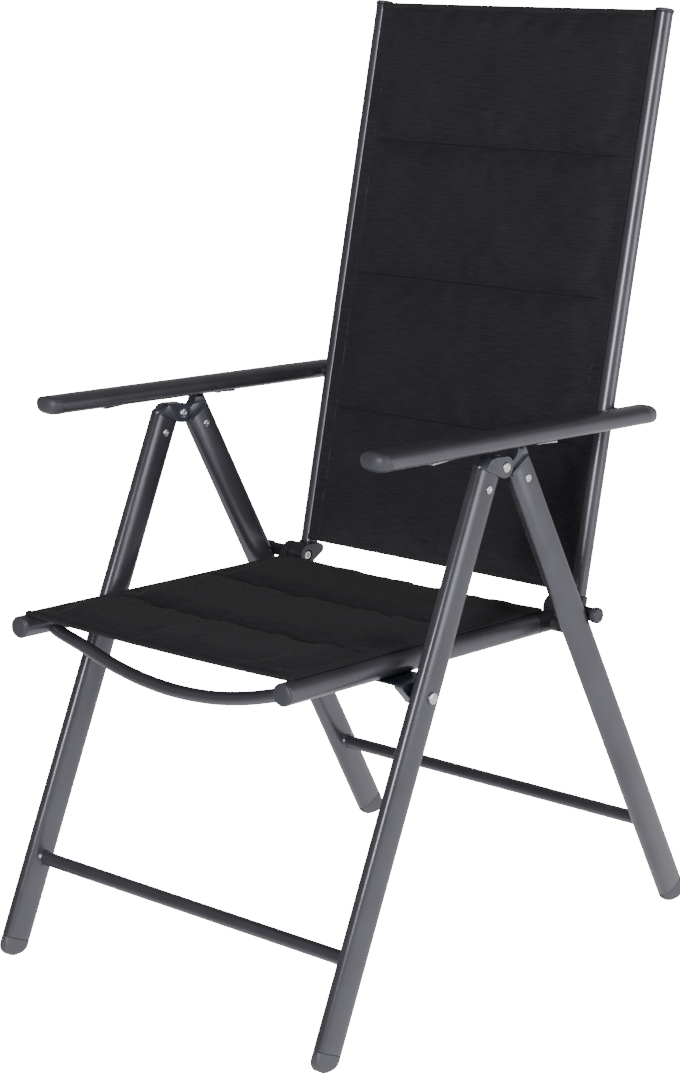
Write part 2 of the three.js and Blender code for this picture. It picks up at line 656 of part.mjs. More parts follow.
// Cross tubes behind the sling, coped to the back tubes
const backRoom = bar(roundShape(BACK_R + FIT), BACK_X, backPoint(-60), backPoint(BACK_LENGTH + 60));
const backRooms = [backRoom, backRoom.mirror([1, 0, 0])];
function backBar(distance) {
  const line = [
    [-1, -7], [-0.93, -9.4], [-0.85, -12.6], [-0.6, -15], [-0.3, -16.6], [0, -17],
    [0.3, -16.6], [0.6, -15], [0.85, -12.6], [0.93, -9.4], [1, -7],
  ];
  const points = line.map(([x, fore]) => [x * BACK_X, ...backPoint(distance, fore)]);
  return middlePiece(cut(sweptTube(points, BACK_BAR_R, BACK_BAR_WALL, 10), ...backRooms));
}
place("back_crossbar_lower", toGeometry(backBar(LOWER_BAR_AT)), PAINT);
place("back_crossbar_upper", toGeometry(backBar(UPPER_BAR_AT)), PAINT);

// Armrests: open-bottomed channel, rounded end caps, notched rack underneath
// Section across the arm as [sideways, up] points, rounded over the top
function armSection(width, height, round) {
  const w = width / 2;
  const h = height / 2;
  const r = Math.max(round, 0.01);
  return [
    [-w, -h], [w, -h],
    ...arc([w - r, h - r], r, 0, 90, 4),
    ...arc([-w + r, h - r], r, 90, 180, 4),
  ];
}

function armBar(shape, from, to, rise = 0) {
  const geometry = new THREE.ExtrudeGeometry(outline(shape), {
    depth: to - from, bevelEnabled: false,
  });
  geometry.applyMatrix4(new THREE.Matrix4().makeBasis(
    new THREE.Vector3(-1, 0, 0),
    new THREE.Vector3(0, armUp[0], armUp[1]),
    new THREE.Vector3(0, armDir[0], armDir[1]),
  ));
  const at = armPoint(from, rise);
  geometry.translate(ARM_X, at[0], at[1]);
  return toSolid(geometry);
}

const shellFrom = ARM_FRONT_CAP + FIT;
const shellTo = armLength - ARM_REAR_CAP - FIT;
const inside = armSection(ARM_WIDTH - 2 * ARM_WALL, ARM_HEIGHT - 2 * ARM_WALL, ARM_ROUND - ARM_WALL);
const shell = cut(
  armBar(armSection(ARM_WIDTH, ARM_HEIGHT, ARM_ROUND), shellFrom, shellTo),
  armBar(inside, shellFrom - 1, shellTo + 1),
  armBar(armSection(ARM_SLOT, ARM_HEIGHT / 2, 0.01), shellFrom - 1, shellTo + 1, -ARM_HEIGHT / 2),
  rod(ARM_BOLT_R + FIT, ARM_X - 30, ARM_X, armPivot),
);
twin("armrest_shell", shell, PAINT);

// Closed skin through rings of points, [x, y, z] each, all with the same count
function loft(rings) {
  const positions = rings.flat(2);
  const n = rings[0].length;
  const index = [];
  for (let j = 0; j + 1 < rings.length; j += 1) {
    for (let i = 0; i < n; i += 1) {
      const a = j * n + i;
      const b = j * n + ((i + 1) % n);
      index.push(a, b, b + n, a, b + n, a + n);
    }
  }
  [0, rings.length - 1].forEach((j) => {
    const middle = [0, 1, 2].map((k) => rings[j].reduce((sum, p) => sum + p[k], 0) / n);
    const hub = positions.length / 3;
    positions.push(...middle);
    for (let i = 0; i < n; i += 1) {
      const a = j * n + i;
      const b = j * n + ((i + 1) % n);
      index.push(...(j === 0 ? [hub, b, a] : [hub, a, b]));
    }
  });
  const geometry = new THREE.BufferGeometry();
  geometry.setAttribute("position", new THREE.BufferAttribute(new Float32Array(positions), 3));
  geometry.setIndex(index);
  return toSolid(geometry);
}

// End cap: rounded in plan and over the top towards its tip, with a plug for the channel
function armCap(tipAt, seamAt, plugTo) {
  const sections = [0, 0.13, 0.3, 0.5, 0.72, 1];
  const rings = sections.map((t) => {
    const full = Math.sqrt(1 - (1 - t) ** 2.4);
    const half = ARM_WIDTH * (0.2 + 0.3 * full);
    const height = ARM_HEIGHT * (0.66 + 0.34 * full);
    const round = Math.min(ARM_ROUND, half * 0.7);
    const section = armSection(2 * half, height, round);
    const [y, z] = armPoint(tipAt + (seamAt - tipAt) * t, (ARM_HEIGHT - height) * -0.2);
    return section.map(([across, up]) => [ARM_X - across, y + armUp[0] * up, z + armUp[1] * up]);
  });
  const skin = loft(seamAt > tipAt ? rings : rings.reverse());
  const from = Math.min(seamAt, plugTo);
  const to = Math.max(seamAt, plugTo);
  const insert = cut(
    armBar(armSection(ARM_WIDTH - 2 * (ARM_WALL + FIT), ARM_HEIGHT - 2 * (ARM_WALL + FIT),
      ARM_ROUND - ARM_WALL), from - 1, to + 1),
    armBar(armSection(ARM_SLOT - 6, ARM_HEIGHT / 2, 0.01),
      from - (plugTo < seamAt ? 5 : -1), to + (plugTo > seamAt ? 5 : -1), -8),
  );
  return join(skin, insert);
}
twin("armrest_front_cap", armCap(0, ARM_FRONT_CAP, ARM_FRONT_CAP + 16), PLASTIC);
twin("armrest_rear_cap", armCap(
  armLength, armLength - ARM_REAR_CAP, armLength - ARM_REAR_CAP - 10), PLASTIC);

// Rack: web under the arm top, two notched side plates, a tab at each end under the lips
const pinFromFront = sub(NOTCH_PIN, armFront);
const restNotch = ARM_AHEAD - (pinFromFront[0] * armDir[0] + pinFromFront[1] * armDir[1]);
const notchRise = pinFromFront[0] * armUp[0] + pinFromFront[1] * armUp[1];
const rackFrom = restNotch - RACK_REAR;
const rackTo = restNotch + NOTCH_STEPS[NOTCH_STEPS.length - 1] + RACK_FRONT;
const rackAt = (distance) => ARM_AHEAD - distance;
const webTop = ARM_HEIGHT / 2 - ARM_WALL - FIT;
const webLow = webTop - 1.3;
const rackHalf = RACK_GAP / 2 + RACK_T;
const rackLow = -ARM_HEIGHT / 2 - RACK_HANG;
const rackBox = (half, from, to, low, high) => {
  const shape = [[-half, low], [half, low], [half, high], [-half, high]];
  return armBar(shape, rackAt(to), rackAt(from));
};
const notches = NOTCH_STEPS.map((step) => {
  const top = armPoint(rackAt(restNotch + step), notchRise);
  const low = armPoint(rackAt(restNotch + step), rackLow - 4);
  return join(
    rod(NOTCH_R, ARM_X - rackHalf - 2, ARM_X + rackHalf + 2, top, 8),
    plate([
      along(low, armDir, -NOTCH_R), along(low, armDir, NOTCH_R),
      along(top, armDir, NOTCH_R), along(top, armDir, -NOTCH_R),
    ], ARM_X - rackHalf - 2, ARM_X + rackHalf + 2),
  );
});
const tabHigh = -ARM_HEIGHT / 2 - FIT;
const rack = cut(
  join(
    cut(
      rackBox(rackHalf, rackFrom, rackTo, rackLow, webTop),
      rackBox(RACK_GAP / 2, rackFrom - 1, rackTo + 1, rackLow - 1, webLow),
    ),
    rackBox(rackHalf + 2, rackFrom - RACK_REAR_TAB, rackFrom + 1.5, tabHigh - 2, tabHigh),
    rackBox(rackHalf + 2, rackTo - 1.5, rackTo + RACK_FRONT_TAB, tabHigh - 2, tabHigh),
  ),
  ...notches,
);
twin("notch_rack", rack, ZINC);

// Arm pivot bolt: threaded into the back tube, spacer, low head within the arm channel
const spacerFrom = BACK_X + BACK_R + FIT;
const armInner = ARM_X - ARM_WIDTH / 2;
twin("arm_pivot_bolt", turned([
  [0, BACK_X - 5], [ARM_BOLT_R, BACK_X - 5], [ARM_BOLT_R, spacerFrom],
  [ARM_SPACER_R, spacerFrom], [ARM_SPACER_R, armInner - FIT], [ARM_BOLT_R, armInner - FIT],
  [ARM_BOLT_R, armInner + ARM_WALL + 0.8], [5.2, armInner + ARM_WALL + 0.8],
  [5.2, armInner + ARM_WALL + 4], [0, armInner + ARM_WALL + 4],
], armPivot, 16), ZINC);

// Padded panel: puffed fields between sewn lines, thin hems round the edge
function paddedPanel(spec) {
  const { half, from, to, seams, border, thick, hem, sag, columns, rows, at } = spec;
  const marks = [from, ...seams, to];
  const field = (w) => {
    let low = marks[0];
    let high = marks[marks.length - 1];
    for (let i = 0; i + 1 < marks.length; i += 1) {
      if (w >= marks[i] && w <= marks[i + 1]) {
        low = marks[i];
        high = marks[i + 1];
      }
    }
    const t = Math.min(w - low, high - w);
    return Math.min(1, Math.sqrt(Math.max(0, t) / 26));
  };
  const side = (x) => {
    const t = half - border - Math.abs(x);
    return t <= 0 ? 0 : Math.min(1, Math.sqrt(t / 30));
  };
  const xs = [];
  const edge = half - border;
  const xMarks = [1, 0.97, 0.88, 0.66, 0.28];
  if (border > 0) {
    xs.push(-half);
  }
  xMarks.forEach((m) => xs.push(-edge * m));
  xMarks.slice().reverse().forEach((m) => xs.push(edge * m));
  if (border > 0) {
    xs.push(half);
  }
  const ws = [];
  for (let i = 0; i + 1 < marks.length; i += 1) {
    const span = marks[i + 1] - marks[i];
    [0, 0.04, 0.16, 0.5, 0.84, 0.96].forEach((m) => ws.push(marks[i] + span * m));
  }
  ws.push(marks[marks.length - 1]);
  const positions = [];
  const push = (x, w, level) => {
    const [y, z] = at(w, level);
    positions.push(x, y, z);
  };
  [1, -1].forEach((face) => {
    ws.forEach((w) => xs.forEach((x) => {
      const puff = field(w) * side(x);
      const dip = sag * (1 - (x / half) ** 2);
      const upper = hem / 2 + (thick * 0.62 - hem / 2) * puff;
      const lower = -hem / 2 - (thick * 0.38 - hem / 2) * puff;
      push(x, w, (face > 0 ? upper : lower) - dip);
    }));
  });
  const n = xs.length;
  const m = ws.length;
  const base = n * m;
  const index = [];
  const quad = (a, b, c, d, flip) => {
    if (flip) {
      index.push(a, c, b, a, d, c);
    } else {
      index.push(a, b, c, a, c, d);
    }
  };
  for (let j = 0; j + 1 < m; j += 1) {
    for (let i = 0; i + 1 < n; i += 1) {
      const a = j * n + i;
      quad(a, a + 1, a + n + 1, a + n, false);
      quad(base + a, base + a + 1, base + a + n + 1, base + a + n, true);
    }
  }
  for (let i = 0; i + 1 < n; i += 1) {
    quad(i, i + 1, base + i + 1, base + i, true);
    const a = (m - 1) * n + i;
    quad(a, a + 1, base + a + 1, base + a, false);
  }
  for (let j = 0; j + 1 < m; j += 1) {
    const a = j * n;
    quad(a, a + n, base + a + n, base + a, false);
    const b = j * n + n - 1;
    quad(b, b + n, base + b + n, base + b, true);
  }
  const geometry = new THREE.BufferGeometry();
  geometry.setAttribute("position", new THREE.BufferAttribute(new Float32Array(positions), 3));
  geometry.setIndex(index);
  geometry.computeVertexNormals();
  const solid = toSolid(geometry);
  return solid;
}

// The seat lies on the crests of the rails
const seatRise = RAIL_R + FIT + SEAT_HEM / 2;
// Half width of a sling that meets a round tube just under its hem
const slingHalf = (x, radius, rise, hem) => x - Math.sqrt((radius + FIT) ** 2 - (rise - hem / 2) ** 2);
place("seat_sling", toGeometry(paddedPanel({
  half: RAIL_X + SEAT_SLING_OVER,
  from: SEAT_SLING_FROM, to: RAIL_LENGTH + SEAT_SLING_TAIL, seams: SEAT_SEAMS,
  border: SEAT_BORDER, thick: SEAT_PAD, hem: SEAT_HEM, sag: SLING_SAG,
  at: (w, level) => railPoint(w, seatRise + level),
})), FABRIC);
place("back_sling", toGeometry(paddedPanel({
  half: slingHalf(BACK_X, BACK_R, BACK_SLING_FORE, BACK_HEM),
  from: BACK_SLING_FROM, to: BACK_LENGTH - BACK_SLING_STOP, seams: BACK_SEAMS,
  border: BACK_BORDER, thick: BACK_PAD, hem: BACK_HEM, sag: SLING_SAG,
  at: (w, level) => backPoint(w, BACK_SLING_FORE + level),
})), FABRIC);

// Stand the chair on the floor, centred
chair.updateMatrixWorld(true);
const box = new THREE.Box3().setFromObject(chair, true);
const centre = box.getCenter(new THREE.Vector3());
chair.position.set(-centre.x, -centre.y, -box.min.z);
chair.updateMatrixWorld(true);

export default chair;
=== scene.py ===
"""High-back folding garden armchair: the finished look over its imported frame.

Sizes are in millimetres, side-view points are (y, z) with the floor at z = 0, and +x is the
sitter's left. The near side is built once and mirrored for the far side.
"""

import logging
import math
from collections.abc import Callable, Sequence
from dataclasses import dataclass, field
from enum import Enum
from functools import cache

import bmesh
import bpy
from mathutils import Matrix, Vector


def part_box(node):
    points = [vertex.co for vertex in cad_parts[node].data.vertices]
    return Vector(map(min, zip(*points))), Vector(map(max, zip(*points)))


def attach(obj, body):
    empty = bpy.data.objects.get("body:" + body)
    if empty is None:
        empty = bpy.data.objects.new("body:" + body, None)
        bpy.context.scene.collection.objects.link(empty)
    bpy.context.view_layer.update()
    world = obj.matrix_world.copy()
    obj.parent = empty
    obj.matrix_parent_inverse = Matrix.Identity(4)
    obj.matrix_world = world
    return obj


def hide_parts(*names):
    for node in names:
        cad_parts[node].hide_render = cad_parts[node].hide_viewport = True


logging.basicConfig(level=logging.INFO, format="%(message)s")
LOG = logging.getLogger("armchair")

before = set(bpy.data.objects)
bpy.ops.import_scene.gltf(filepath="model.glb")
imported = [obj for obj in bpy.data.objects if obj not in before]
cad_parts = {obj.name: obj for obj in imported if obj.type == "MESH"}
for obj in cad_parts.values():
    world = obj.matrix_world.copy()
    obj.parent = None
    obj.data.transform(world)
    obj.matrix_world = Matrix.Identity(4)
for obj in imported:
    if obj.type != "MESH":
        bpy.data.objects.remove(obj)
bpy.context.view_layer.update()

# A point or a pair of sizes, one closed section of a skin, and a place with a direction
Point = tuple[float, float]
Ring = list[Vector]
Placed = tuple[Vector, Vector]

# Metres in a millimetre, and the gap in millimetres between pieces that fit together
MM = 0.001
FIT = 0.3
# Where the notch pins stand in this script's own millimetres
NOTCH_PIN_Y = 27.0
# Angle in degrees from which an edge shows
SHARP = 38.0
# Faces that meet at less than this angle in degrees are one flat face
FLAT = 0.8
# Points nearer than this in metres are one: in new meshes, and in copies of frame nodes
SAME = 2e-6
SAME_IN_FRAME = 5e-6


def middle(node: str) -> Point:
    """Side-view middle of a frame node's box in millimetres, where the frame has it."""
    low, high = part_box(node)
    return ((low[1] + high[1]) / 2 / MM, (low[2] + high[2]) / 2 / MM)


Y_SHIFT = middle("arm_notch_pin_left")[0] - NOTCH_PIN_Y


def place_of(node: str) -> Point:
    """Side-view middle of a frame node in this script's own millimetres."""
    y, z = middle(node)
    return (y - Y_SHIFT, z)


# Axis of the back's axles, and radius of the sleeves on them that bear on the rear legs
AXLE = place_of("back_axle_left")
SLEEVE_RADIUS = 8.0


class Side(Enum):
    """One side of the chair, as the sitter sees it."""

    LEFT = 1
    RIGHT = -1

    @property
    def word(self) -> str:
        """The side's name as node names carry it."""
        return self.name.lower()


class Body(str, Enum):
    """Bodies that move as one in the frame."""

    FRONT_LEGS = "front_legs"
    REAR_LEGS = "rear_legs"
    SEAT = "seat"
    BACK_PIVOTS = "back_pivots"
    BACKREST = "backrest"
    ARM_PIVOT = "arm_pivot"
    ARMREST = "armrest"

    def on(self, side: Side) -> str:
        """The body's name on one side, for bodies that come in pairs."""
        paired = self in (Body.ARM_PIVOT, Body.ARMREST)
        return f"{self.value}_{side.word}" if paired else self.value


def along(start: Point, direction: Point, distance: float) -> Point:
    """Step from a side-view point along a direction.

    Args:
        start: the point to leave from.
        direction: unit direction.
        distance: how far to go.

    Returns:
        The point reached.
    """
    return (start[0] + direction[0] * distance, start[1] + direction[1] * distance)


def heading(start: Point, end: Point) -> Point:
    """Unit direction from one side-view point to another."""
    length = math.dist(start, end)
    return ((end[0] - start[0]) / length, (end[1] - start[1]) / length)


def arc(centre: Point, radius: float, start: float, end: float, steps: int) -> list[Point]:
    """Points on a circular arc.

    Args:
        centre: the arc's centre.
        radius: its radius.
        start: first angle in degrees.
        end: last angle in degrees.
        steps: number of chords.

    Returns:
        steps + 1 points.
    """
    turn = [math.radians(start + (end - start) * i / steps) for i in range(steps + 1)]
    return [(centre[0] + radius * math.cos(a), centre[1] + radius * math.sin(a)) for a in turn]


def oval(half: float, high: float, fullness: float = 2.0, lip: float = 0.0,
         steps: int = 64) -> list[Point]:
    """Oval section, as full as asked, from one lip over the top to the other.

    Args:
        half: half of the section's width.
        high: half of its height.
        fullness: 2 for an ellipse, more for flatter sides.
        lip: sideways place of the lips of an open underside; nothing for a closed section.
        steps: number of chords.

    Returns:
        steps + 1 points, or one fewer for a closed section.
    """
    power = 2 / fullness
    low = math.degrees(math.acos((lip / half) ** (1 / power)))
    points = [(half * math.copysign(abs(c) ** power, c), high * math.copysign(abs(u) ** power, u))
              for c, u in arc((0, 0), 1, -low, 180 + low, steps)]
    return points if lip else points[:-1]


def smooth_path(points: Sequence[Vector], steps: int) -> list[Vector]:
    """Catmull-Rom curve through points.

    Args:
        points: the points to pass through.
        steps: pieces between two of them.

    Returns:
        The curve's points, ends included.
    """
    path: list[Vector] = []
    ends = [points[0] * 2 - points[1], *points, points[-1] * 2 - points[-2]]
    for a, b, c, d in zip(ends, ends[1:], ends[2:], ends[3:]):
        for i in range(steps):
            t = i / steps
            path.append(0.5 * ((2 * b) + (c - a) * t + (2 * a - 5 * b + 4 * c - d) * t * t
                               + (3 * b - a - 3 * c + d) * t ** 3))
    return [*path, points[-1].copy()]


def mirrored(half: Sequence[Vector]) -> list[Vector]:
    """Points of a whole cross tube from those of its near half, which end in the middle."""
    return [Vector((-p.x, p.y, p.z)) for p in half] + list(half[-2::-1])


@dataclass
class Skin:
    """Vertices and faces of one piece while it is put together, in millimetres."""

    points: list[Vector] = field(default_factory=list)
    faces: list[list[int]] = field(default_factory=list)

    def sweep(self, rings: Sequence[Ring], looped: bool = False) -> "Skin":
        """Close a skin over rings of points.

        Args:
            rings: sections with the same number of points each.
            looped: whether the last ring joins the first instead of ending in a cap.

        Returns:
            This skin.
        """
        base, count = len(self.points), len(rings[0])
        for ring in rings:
            self.points.extend(ring)
        pairs = list(zip(range(len(rings)), range(1, len(rings))))
        if looped:
            pairs.append((len(rings) - 1, 0))
        for low, high in pairs:
            for i in range(count):
                j = (i + 1) % count
                quad = [low * count + i, low * count + j, high * count + j, high * count + i]
                self.faces.append([base + k for k in quad])
        if not looped:
            last = base + (len(rings) - 1) * count
            self.faces.append([base + i for i in range(count)][::-1])
            self.faces.append([last + i for i in range(count)])
        return self

    def bar(self, section: Callable[[float], list[Point]], x: float, start: Point,
            end: Point, soft: float = 0.5) -> "Skin":
        """Straight bar in a side-view direction with slightly rounded ends.

        Args:
            section: gives the section's points, drawn in by a distance.
            x: sideways place of the bar.
            start: one end of its axis.
            end: the other end.
            soft: radius at the ends.

        Returns:
            This skin.
        """
        way = heading(start, end)
        length = math.dist(start, end)
        stations = [(0.0, soft), (soft * 0.3, soft * 0.3), (soft, 0.0),
                    (length - soft, 0.0), (length - soft * 0.3, soft * 0.3), (length, soft)]
        rings = []
        for distance, inset in stations:
            centre = along(start, way, distance)
            rings.append([Vector((x + side, *along(centre, (way[1], -way[0]), across)))
                          for side, across in section(inset)])
        return self.sweep(rings)

    def turned(self, profile: Sequence[Point], origin: Vector, axis: Vector,
               steps: int = 40) -> "Skin":
        """Turned piece.

        Args:
            profile: (radius, distance along the axis) points, from pole to pole.
            origin: where the distances start.
            axis: unit direction of the axis.
            steps: number of sides.

        Returns:
            This skin.
        """
        side = axis.orthogonal().normalized()
        other = axis.cross(side)
        rings = []
        for radius, distance in profile:
            centre = origin + axis * distance
            size = max(radius, 0.02)
            rings.append([centre + (side * math.cos(a) + other * math.sin(a)) * size
                          for a in (2 * math.pi * i / steps for i in range(steps))])
        return self.sweep(rings)

    def tube(self, path: Sequence[Vector], radius: float, steps: int = 28) -> "Skin":
        """Round tube along a smooth path.

        Args:
            path: the points of its axis.
            radius: its radius.
            steps: number of sides.

        Returns:
            This skin.
        """
        rings = []
        normal = Vector((0, 0, 1))
        for i, point in enumerate(path):
            ahead = path[min(i + 1, len(path) - 1)] - path[max(i - 1, 0)]
            ahead.normalize()
            normal = (normal - ahead * normal.dot(ahead)).normalized()
            other = ahead.cross(normal)
            rings.append([point + (normal * math.cos(a) + other * math.sin(a)) * radius
                          for a in (2 * math.pi * k / steps for k in range(steps))])
        return self.sweep(rings)

    def build(self, name: str, side: Side = Side.LEFT,
              sharp: float = SHARP) -> bpy.types.Object:
        """Make the piece's object, in place and facing outwards.

        Args:
            name: the object's name.
            side: the side it stands on: the far side is the near one mirrored.
            sharp: angle in degrees from which an edge shows.

        Returns:
            The new object.
        """
        mesh = bpy.data.meshes.new(name)
        mesh.from_pydata([(p.x * side.value * MM, (p.y + Y_SHIFT) * MM, p.z * MM)
                          for p in self.points], [], self.faces)
        return shown(name, mesh, sharp)


def shown(name: str, mesh: bpy.types.Mesh, sharp: float) -> bpy.types.Object:
    """Clean a mesh, shade it and put it into the scene.

    Args:
        name: the object's name.
        mesh: its mesh.
        sharp: angle in degrees from which an edge shows.

    Returns:
        The new object.
    """
    work = bmesh.new()
    work.from_mesh(mesh)
    bmesh.ops.remove_doubles(work, verts=work.verts, dist=SAME)
    bmesh.ops.recalc_face_normals(work, faces=work.faces)
    work.to_mesh(mesh)
    work.free()
    mesh.shade_smooth()
    mesh.set_sharp_from_angle(angle=math.radians(sharp))
    obj = bpy.data.objects.new(name, mesh)
    bpy.context.collection.objects.link(obj)
    return obj


def refined(node: str, name: str, round_edges: float,
            shape: Callable[[bmesh.types.BMesh], None] | None = None) -> bpy.types.Object:
    """A copy of a frame node with its flat faces whole and its edges rounded.

    Args:
        node: the frame node.
        name: the new object's name.
        round_edges: width of the rounding in millimetres.
        shape: changes the copy's form, if anything does.

    Returns:
        The new object.
    """
    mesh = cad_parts[node].data.copy()
    work = bmesh.new()
    work.from_mesh(mesh)
    bmesh.ops.remove_doubles(work, verts=work.verts, dist=SAME_IN_FRAME)
    bmesh.ops.dissolve_limit(work, angle_limit=math.radians(FLAT), verts=work.verts,
                             edges=work.edges)
    if shape:
        shape(work)
        bmesh.ops.triangulate(work, faces=[f for f in work.faces if len(f.verts) > 4])
    work.to_mesh(mesh)
    work.free()
    mesh.materials.clear()
    mesh.shade_smooth()
    mesh.set_sharp_from_angle(angle=math.radians(SHARP))
    obj = bpy.data.objects.new(name, mesh)
    bpy.context.collection.objects.link(obj)
    soften(obj, round_edges)
    return obj


def soften(obj: bpy.types.Object, width: float) -> None:
    """Round an object's sharp edges with a bevel.

    Args:
        obj: the object.
        width: width of the bevel in millimetres.
    """
    bevel = obj.modifiers.new("rounded edges", "BEVEL")
    bevel.width = width * MM
    bevel.segments = 3
    bevel.limit_method = "ANGLE"
    bevel.angle_limit = math.radians(SHARP)
    bevel.harden_normals = True
    bevel.use_clamp_overlap = True


def linear(hex_colour: str) -> tuple[float, float, float, float]:
    """Scene-linear colour of an sRGB hex value such as 5d5e66.

    Args:
        hex_colour: the sRGB value.

    Returns:
        Red, green, blue and a solid alpha.
    """
    parts = [int(hex_colour[i:i + 2], 16) / 255 for i in (0, 2, 4)]
    low = [p / 12.92 if p <= 0.04045 else ((p + 0.055) / 1.055) ** 2.4 for p in parts]
    return (low[0], low[1], low[2], 1.0)


def feed(tree: bpy.types.NodeTree, node: bpy.types.Node, links: dict) -> None:
    """Fill a node's inputs.

    Args:
        tree: the node tree.
        node: the node.
        links: input name or index to a value or to the socket that feeds it.
    """
    for key, value in links.items():
        if isinstance(value, bpy.types.NodeSocket):
            tree.links.new(value, node.inputs[key])
        else:
            node.inputs[key].default_value = value


def add(tree: bpy.types.NodeTree, kind: str, settings: dict | None = None,
        links: dict | None = None) -> bpy.types.Node:
    """Add a node to a tree.

    Args:
        tree: the node tree.
        kind: the node's type name.
        settings: attributes to set on the node.
        links: input name or index to a value or to the socket that feeds it.

    Returns:
        The new node.
    """
    node = tree.nodes.new(kind)
    for key, value in (settings or {}).items():
        setattr(node, key, value)
    feed(tree, node, links or {})
    return node


def new_material(name: str, values: dict[str, object]) \
        -> tuple[bpy.types.Material, bpy.types.NodeTree, bpy.types.Node]:
    """Start a node material.

    Args:
        name: the material's name.
        values: what is the same all over the surface, by the shader's input.

    Returns:
        The material, its tree and its shader.
    """
    material = bpy.data.materials.new(name)
    material.use_nodes = True
    tree = material.node_tree
    tree.nodes.clear()
    shader = add(tree, "ShaderNodeBsdfPrincipled", links=values)
    add(tree, "ShaderNodeOutputMaterial", links={"Surface": shader.outputs["BSDF"]})
    return material, tree, shader


@dataclass(frozen=True)
class Finish:
    """Hard surface: two close tones, uneven gloss and a fine relief, all at real sizes.

    Attributes:
        slot: the paint slot that it belongs to; not used.
        tone: its darker tone as an sRGB hex value.
        second_tone: its paler tone.
        uneven: how far the roughness strays from patch to patch.
        patch_mm: size of the patches of tone and gloss.
        grain_mm: size of the grain.
        relief_mm: height of the grain.
        coat: weight of a clear gloss over it.
    """

    name: str
    slot: str
    tone: str
    second_tone: str
    metallic: float
    roughness: float
    uneven: float
    patch_mm: float
    grain_mm: float
    relief_mm: float
    coat: float = 0.0

    @cache
    def material(self) -> bpy.types.Material:
        """The finish's material, made on first use.

        Returns:
            The material.
        """
        material, tree, shader = new_material(self.name, {
            "Metallic": self.metallic, "Coat Weight": self.coat, "Coat Roughness": 0.18})
        place = add(tree, "ShaderNodeTexCoord").outputs["Object"]
        patches = add(tree, "ShaderNodeTexNoise", links={
            "Vector": place, "Scale": 1 / (self.patch_mm * MM), "Detail": 3.0})
        grain = add(tree, "ShaderNodeTexNoise", links={
            "Vector": place, "Scale": 1 / (self.grain_mm * MM), "Detail": 2.0})
        mixed = add(tree, "ShaderNodeMath", {"operation": "ADD"}, {
            0: patches.outputs["Fac"], 1: grain.outputs["Fac"]})
        spread = add(tree, "ShaderNodeMapRange", links={
            "Value": mixed.outputs[0], "From Min": 0.7, "From Max": 1.3})
        colour = add(tree, "ShaderNodeMix", {"data_type": "RGBA"}, {
            "Factor": spread.outputs["Result"], 6: linear(self.tone),
            7: linear(self.second_tone)})
        gloss = add(tree, "ShaderNodeMapRange", links={
            "Value": patches.outputs["Fac"], "From Min": 0.3, "From Max": 0.7,
            "To Min": self.roughness - self.uneven, "To Max": self.roughness + self.uneven})
        bump = add(tree, "ShaderNodeBump", links={
            "Height": grain.outputs["Fac"], "Strength": 0.35, "Distance": self.relief_mm * MM})
        feed(tree, shader, {
            "Base Color": colour.outputs[2], "Roughness": gloss.outputs["Result"],
            "Normal": bump.outputs["Normal"]})
        return material


# Powder coat baked on aluminium tube: satin slate grey, metal flakes give it a soft lift
SLATE_COAT = Finish("slate_powder_coat", "frame_paint", "58575f", "65646d", 0.65, 0.32, 0.03,
                    60, 0.6, 0.03, coat=0.15)
# Glass-filled nylon moulded in a spark-eroded tool: even grey with a faint grain
GREY_NYLON = Finish("moulded_grey_nylon", "dark_plastic", "3c3c44", "46464e", 0.0, 0.48, 0.04,
                    30, 0.9, 0.05)
# The same nylon in near black, for the pieces at the joints
DARK_NYLON = Finish("moulded_dark_nylon", "dark_plastic", "25252a", "2d2d32", 0.0, 0.42, 0.04,
                    30, 0.9, 0.05)
# Smooth nylon coloured to match the powder coat: a paler, softer plug
SLATE_NYLON = Finish("moulded_slate_nylon", "dark_plastic", "55565f", "60616a", 0.1, 0.4, 0.03,
                     30, 0.9, 0.04, coat=0.1)
# Nylon moulded in a polished tool: blue-grey and glossy, as the hinge heads are
GLOSS_NYLON = Finish("moulded_gloss_nylon", "dark_plastic", "3a3c46", "454752", 0.0, 0.26, 0.03,
                     20, 1.2, 0.02, coat=0.4)
# Soft moulded plug that stands on the floor: scuffed matt dark grey
FOOT_PLASTIC = Finish("moulded_foot_plastic", "foot_plastic", "505157", "5a5b62", 0.0, 0.5,
                      0.05, 14, 0.8, 0.08)
# Pressed steel in blue-black gloss enamel: thick coat with sharp highlights
BLACK_ENAMEL = Finish("enamelled_pressed_steel", "frame_paint", "363c4a", "444b5b", 0.6, 0.16,
                      0.03, 25, 1.4, 0.03, coat=0.6)
# Bright zinc plating on steel: cloudy pale metal
ZINC_PLATE = Finish("zinc_plated_steel", "zinc_steel", "cfd0d4", "e6e6e8", 1.0, 0.32, 0.06,
                    4, 0.5, 0.02)
# The same plating on the pressed racks
RACK_PLATE = Finish("zinc_plated_pressing", "rack_steel", "b4b6bb", "cfd0d4", 1.0, 0.33, 0.06,
                    6, 0.7, 0.03)
# Hardened pin, blackened in hot oil: dark with a dull metal gloss
BLACK_STEEL = Finish("oil_blackened_steel", "zinc_steel", "2b2c30", "35363a", 1.0, 0.38, 0.05,
                     5, 0.6, 0.02)
# Smooth black acetal sleeve: glossy where the legs bear on it
BLACK_ACETAL = Finish("turned_black_acetal", "sleeve_plastic", "202126", "27282d", 0.0, 0.2,
                      0.04, 12, 1.0, 0.01)


